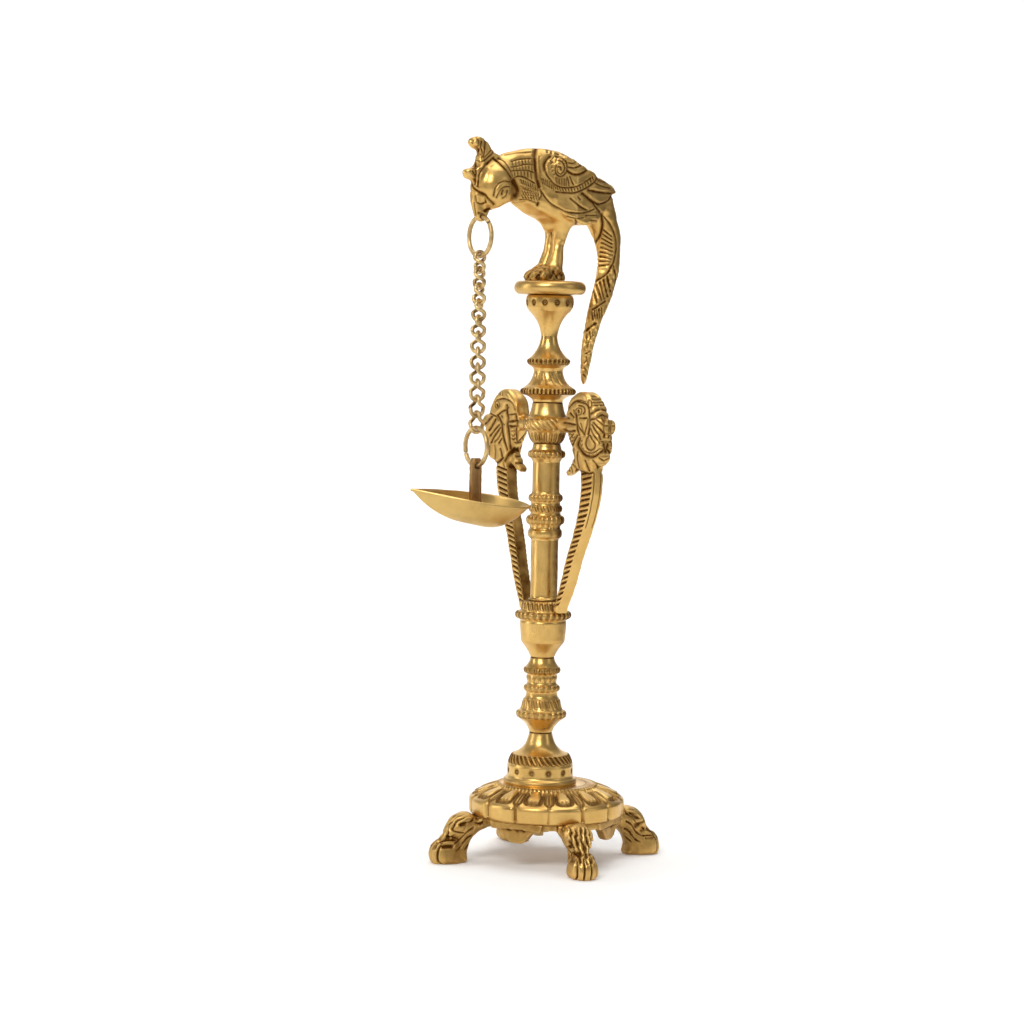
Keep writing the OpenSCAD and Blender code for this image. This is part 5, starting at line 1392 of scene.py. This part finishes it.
def leg_stand():
    h = 0.42
    lo, hi = (-54.0, -54.0, -1.0), (54.0, 54.0, 23.4)
    X, Y, Z = axes_of(lo, hi, h)
    ang = np.arctan2(Y, X)
    rho = np.sqrt(X ** 2 + Y ** 2)
    a0 = math.radians(74)
    fold = (ang - a0 + math.pi / 4) % (math.pi / 2) - math.pi / 4
    R, T = rho * np.cos(fold), rho * np.sin(fold)          # along and across the nearest leg
    poly = spline(np.array(LEG_SIDE[2:18], float), 3)
    poly = np.concatenate([np.array(LEG_SIDE[:2], float), poly, np.array(LEG_SIDE[18:], float)])
    # the distance to the leg's side view, looked up from a fine table
    gr, gz = np.arange(0, 76, 0.2), np.arange(-1.2, 23.8, 0.2)
    tab = sd_poly(gr[:, None] + 0 * gz[None, :], 0 * gr[:, None] + gz[None, :], poly)
    D = np.empty(np.broadcast(R, Z).shape, np.float32)
    R2, T2 = R[:, :, 0], T[:, :, 0]
    i = np.clip(R2 / 0.2, 0, len(gr) - 2)
    i0 = i.astype(int); fi = (i - i0).astype(np.float32)
    drop = [(-13.5, 24), (-11, 16.4), (-8.2, 15.9), (-6, 14.4), (-4.2, 12.0), (-2, 10.8), (2, 10.8), (4.2, 12.0), (6, 14.4),
            (8.2, 15.9), (11, 16.4), (13.5, 24)]
    fold2 = (ang - a0) % (math.pi / 2) - math.pi / 4
    Rd, Td = (rho * np.cos(fold2))[:, :, 0], (rho * np.sin(fold2))[:, :, 0]
    for k, z in enumerate(Z[0, 0]):
        j = min(max((z + 1.2) / 0.2, 0), len(gz) - 2)
        j0 = int(j); fj = j - j0
        d2 = ((tab[i0, j0] * (1 - fi) + tab[i0 + 1, j0] * fi) * (1 - fj)
              + (tab[i0, j0 + 1] * (1 - fi) + tab[i0 + 1, j0 + 1] * fi) * fj)
        # wide where it leaves the disc, waisted above the paw, spread at the toes
        half = 4.3 + 1.3 * sstep(11.5, 16, z) - 0.75 * math.exp(-((z - 9.6) / 2.6) ** 2) + 1.3 * (1 - sstep(3.5, 8.0, z)) * sstep(37.5, 42, R2)
        paw = sstep(39.0, 42.5, R2) * (1 - sstep(9.0, 12.0, z))
        round_ = 5.9 * math.sqrt(max(0.05, 1 - ((z - 2.8) / 8.6) ** 2)) * (1 - 0.34 * sstep(46.0, 51.0, R2))
        d = slab(d2, T2, half * (1 - paw) + round_ * paw, 2.6)
        # the leaf that laps over the shin
        d = smin(d, np.sqrt((R2 - 37.4) ** 2 * 0.5 + T2 ** 2 * 0.5 + (z - 15.2) ** 2 * 0.6) - 4.0, 1.8)
        # the plate above and the drops between the legs
        pl = np.maximum(rho[:, :, 0] - 30.8, max(16.7 - z, z - 19.2))
        d = smin(d, pl, 2.0)
        skirt = np.maximum(np.abs(Rd - 27.6) - 1.9, sd_poly(Td, np.full_like(Td, z), drop))
        d = smin(d, skirt, 1.1)
        D[:, :, k] = np.maximum(d, np.minimum(z - 19.2, 33.1 - rho[:, :, 0]))
    D = np.maximum(D, 2.15 - rho + 0 * Z)
    D = np.maximum(D, np.maximum(-Z, Z - 21.0) + 0 * X + 0 * Y)
    V, F = from_field(D, lo, h)
    N = normals_of(V, F)
    ang = np.arctan2(V[:, 1], V[:, 0])
    rho = np.hypot(V[:, 0], V[:, 1])
    fold = (ang - a0 + math.pi / 4) % (math.pi / 2) - math.pi / 4
    leg = np.floor((ang - a0 + math.pi / 4) / (math.pi / 2))
    R, T, z = rho * np.cos(fold), rho * np.sin(fold), V[:, 2]
    up = N[:, 0] * np.cos(ang) + N[:, 1] * np.sin(ang)
    outer = sstep(0.05, 0.35, up + 0.6 * np.maximum(N[:, 2], 0)) * (np.abs(T) < 6.4) * (R > 29.5)
    # leaf grooves down the shin
    wav = 0.45 * np.sin(z * 0.75 + leg * 2.1) + 0.25 * np.sin(z * 1.9 + T + leg)
    s = np.abs(saw(1, 2 * math.pi * (T * (1 + 0.03 * (z - 12)) + wav) / 2.5))
    fade = 0.55 + 0.45 * np.sin(0.8 * z + 3.1 * np.round(T / 2.5) + leg)
    g1 = outer * sstep(0.3, 0.8, s) * window(7.0, 19.6, z, 1.3) * np.clip(fade + 0.35, 0, 1)
    cut, black = 1.25 * g1, 1.0 * g1
    # slanting strokes on both cheeks of the leg
    cheek = (1 - outer) * (R > 33.6) * sstep(0.4, 0.75, np.abs(-N[:, 0] * np.sin(ang) + N[:, 1] * np.cos(ang))) * window(6, 19.5, z, 1.0)
    g2 = cheek * sstep(0.5, 0.9, np.abs(saw(1, 2 * math.pi * (z * 0.75 + R * 0.66 + 0.3 * np.sin(R)) / 2.6)))
    cut, black = np.maximum(cut, 0.5 * g2), np.maximum(black, 0.75 * g2)
    # toes
    paw = (z < 9.4) * (R > 41.5)
    toe = np.abs(saw(1, 2 * math.pi * (T * (1 + 0.05 * (51 - R)) + 1.6) / 3.2))
    g3 = paw * sstep(0.55, 0.95, toe) * (np.abs(T) < 5.0) * (1 - sstep(7.4, 9.0, z + 0.5 * (47 - R))) * sstep(43.5, 46, R)
    cut, black = np.maximum(cut, 1.0 * g3), np.maximum(black, 0.95 * g3)
    ank = np.exp(-((z - 10.4 + 0.12 * T ** 2) / 0.55) ** 2) * outer * (R > 43)
    cut, black = np.maximum(cut, 0.4 * ank), np.maximum(black, 0.7 * ank)
    flat = sstep(0.15, 0.6, z)
    cut *= flat * (1 - (rho < 33.4) * sstep(18.2, 19.0, z))

    def clip(V):
        V = V + (sstep(3.0, 16.0, np.hypot(V[:, 0], V[:, 1])))[:, None] * BASE_OFF
        V[:, 2] = np.clip(V[:, 2], 0, 21)
        return V
    tone = 0.16 + wire_noise(V * 0.3, 83, 0.12) + 0.2 * (1 - outer) * (R < 46)
    finish_figure("leg_stand", V, F, cut, black, CAST, 0.14, 81, clip, tone)


leg_stand()

# ------------------------------------------------------------------ floor and light

def area(name, loc, size, power, colour=(1, 1, 1), at=(0, 0, 0.15), spread=180):
    li = bpy.data.lights.new(name, "AREA")
    li.shape = "RECTANGLE"
    li.size, li.size_y = size
    li.energy = power
    li.color = colour
    li.spread = math.radians(spread)
    ob = bpy.data.objects.new(name, li)
    ob.location = loc
    ob.rotation_euler = (Vector(at) - Vector(loc)).to_track_quat("-Z", "Y").to_euler()
    bpy.context.scene.collection.objects.link(ob)
    return ob


def stage_set():
    # a floor that curves up behind
    f = (AIM - CAM) * np.array([1, 1, 0]); f /= np.linalg.norm(f)
    side = np.array([-f[1], f[0], 0])
    V = []
    prof = [(-3.0, 0.0), (0.9, 0.0)] + [(0.9 + 0.9 * math.sin(math.radians(a)), 0.9 - 0.9 * math.cos(math.radians(a)))
                                       for a in range(5, 91, 5)] + [(1.8, 4.0)]
    for d, z in prof:
        for s_ in (-0.85, 4.0):
            V.append((f * d + side * s_ + np.array([0, 0, z])).tolist())
    F = [(2 * i, 2 * i + 1, 2 * i + 3, 2 * i + 2) for i in range(len(prof) - 1)]
    me = bpy.data.meshes.new("backdrop")
    me.from_pydata(V, [], F)
    me.update()
    for p in me.polygons:
        p.use_smooth = True
    m = bpy.data.materials.new("paper")
    m.use_nodes = True
    nt = m.node_tree
    b = nt.nodes["Principled BSDF"]
    b.inputs["Roughness"].default_value = 0.9
    b.inputs["Specular IOR Level"].default_value = 0.1
    n = nt.nodes.new("ShaderNodeTexNoise")
    n.inputs["Scale"].default_value = 2.0
    r = nt.nodes.new("ShaderNodeValToRGB")
    r.color_ramp.elements[0].color = (0.90, 0.90, 0.895, 1)
    r.color_ramp.elements[1].color = (0.93, 0.93, 0.93, 1)
    nt.links.new(n.outputs["Fac"], r.inputs[0])
    nt.links.new(r.outputs[0], b.inputs["Base Color"])
    b.inputs["Emission Color"].default_value = (1, 1, 1, 1)
    b.inputs["Emission Strength"].default_value = 0.13
    me.materials.append(m)
    ob = bpy.data.objects.new("backdrop", me)
    bpy.context.scene.collection.objects.link(ob)


stage_set()
area("key", (-1.3, -0.9, 1.3), (0.7, 0.7), 16, (1.0, 0.98, 0.95))
area("fill", (0.8, -1.4, 0.7), (0.35, 1.0), 1.8, (0.98, 0.99, 1.0))
area("side", (-1.2, 0.7, 0.5), (0.3, 1.1), 4)
area("top", (0.1, 0.1, 1.6), (1.3, 1.3), 12)
area("back", (0.5, 0.7, 1.9), (1.6, 0.5), 9, at=(1.2, 1.5, 0.5), spread=130)
w = bpy.data.worlds.new("world")
bpy.context.scene.world = w
w.use_nodes = True
nt = w.node_tree
bg = nt.nodes["Background"]
tc = nt.nodes.new("ShaderNodeTexCoord")
sp = nt.nodes.new("ShaderNodeSeparateXYZ")
rp = nt.nodes.new("ShaderNodeValToRGB")
rp.color_ramp.elements[0].position, rp.color_ramp.elements[0].color = 0.3, (0.12, 0.10, 0.08, 1)
rp.color_ramp.elements[1].position, rp.color_ramp.elements[1].color = 0.75, (0.7, 0.7, 0.7, 1)
mr = nt.nodes.new("ShaderNodeMapRange")
mr.inputs["From Min"].default_value = -1.0
nt.links.new(tc.outputs["Generated"], sp.inputs[0])
nt.links.new(sp.outputs["Z"], mr.inputs["Value"])
nt.links.new(mr.outputs[0], rp.inputs[0])
nt.links.new(rp.outputs[0], bg.inputs["Color"])
bg.inputs["Strength"].default_value = 0.4
bpy.context.scene.view_settings.view_transform = "Standard"
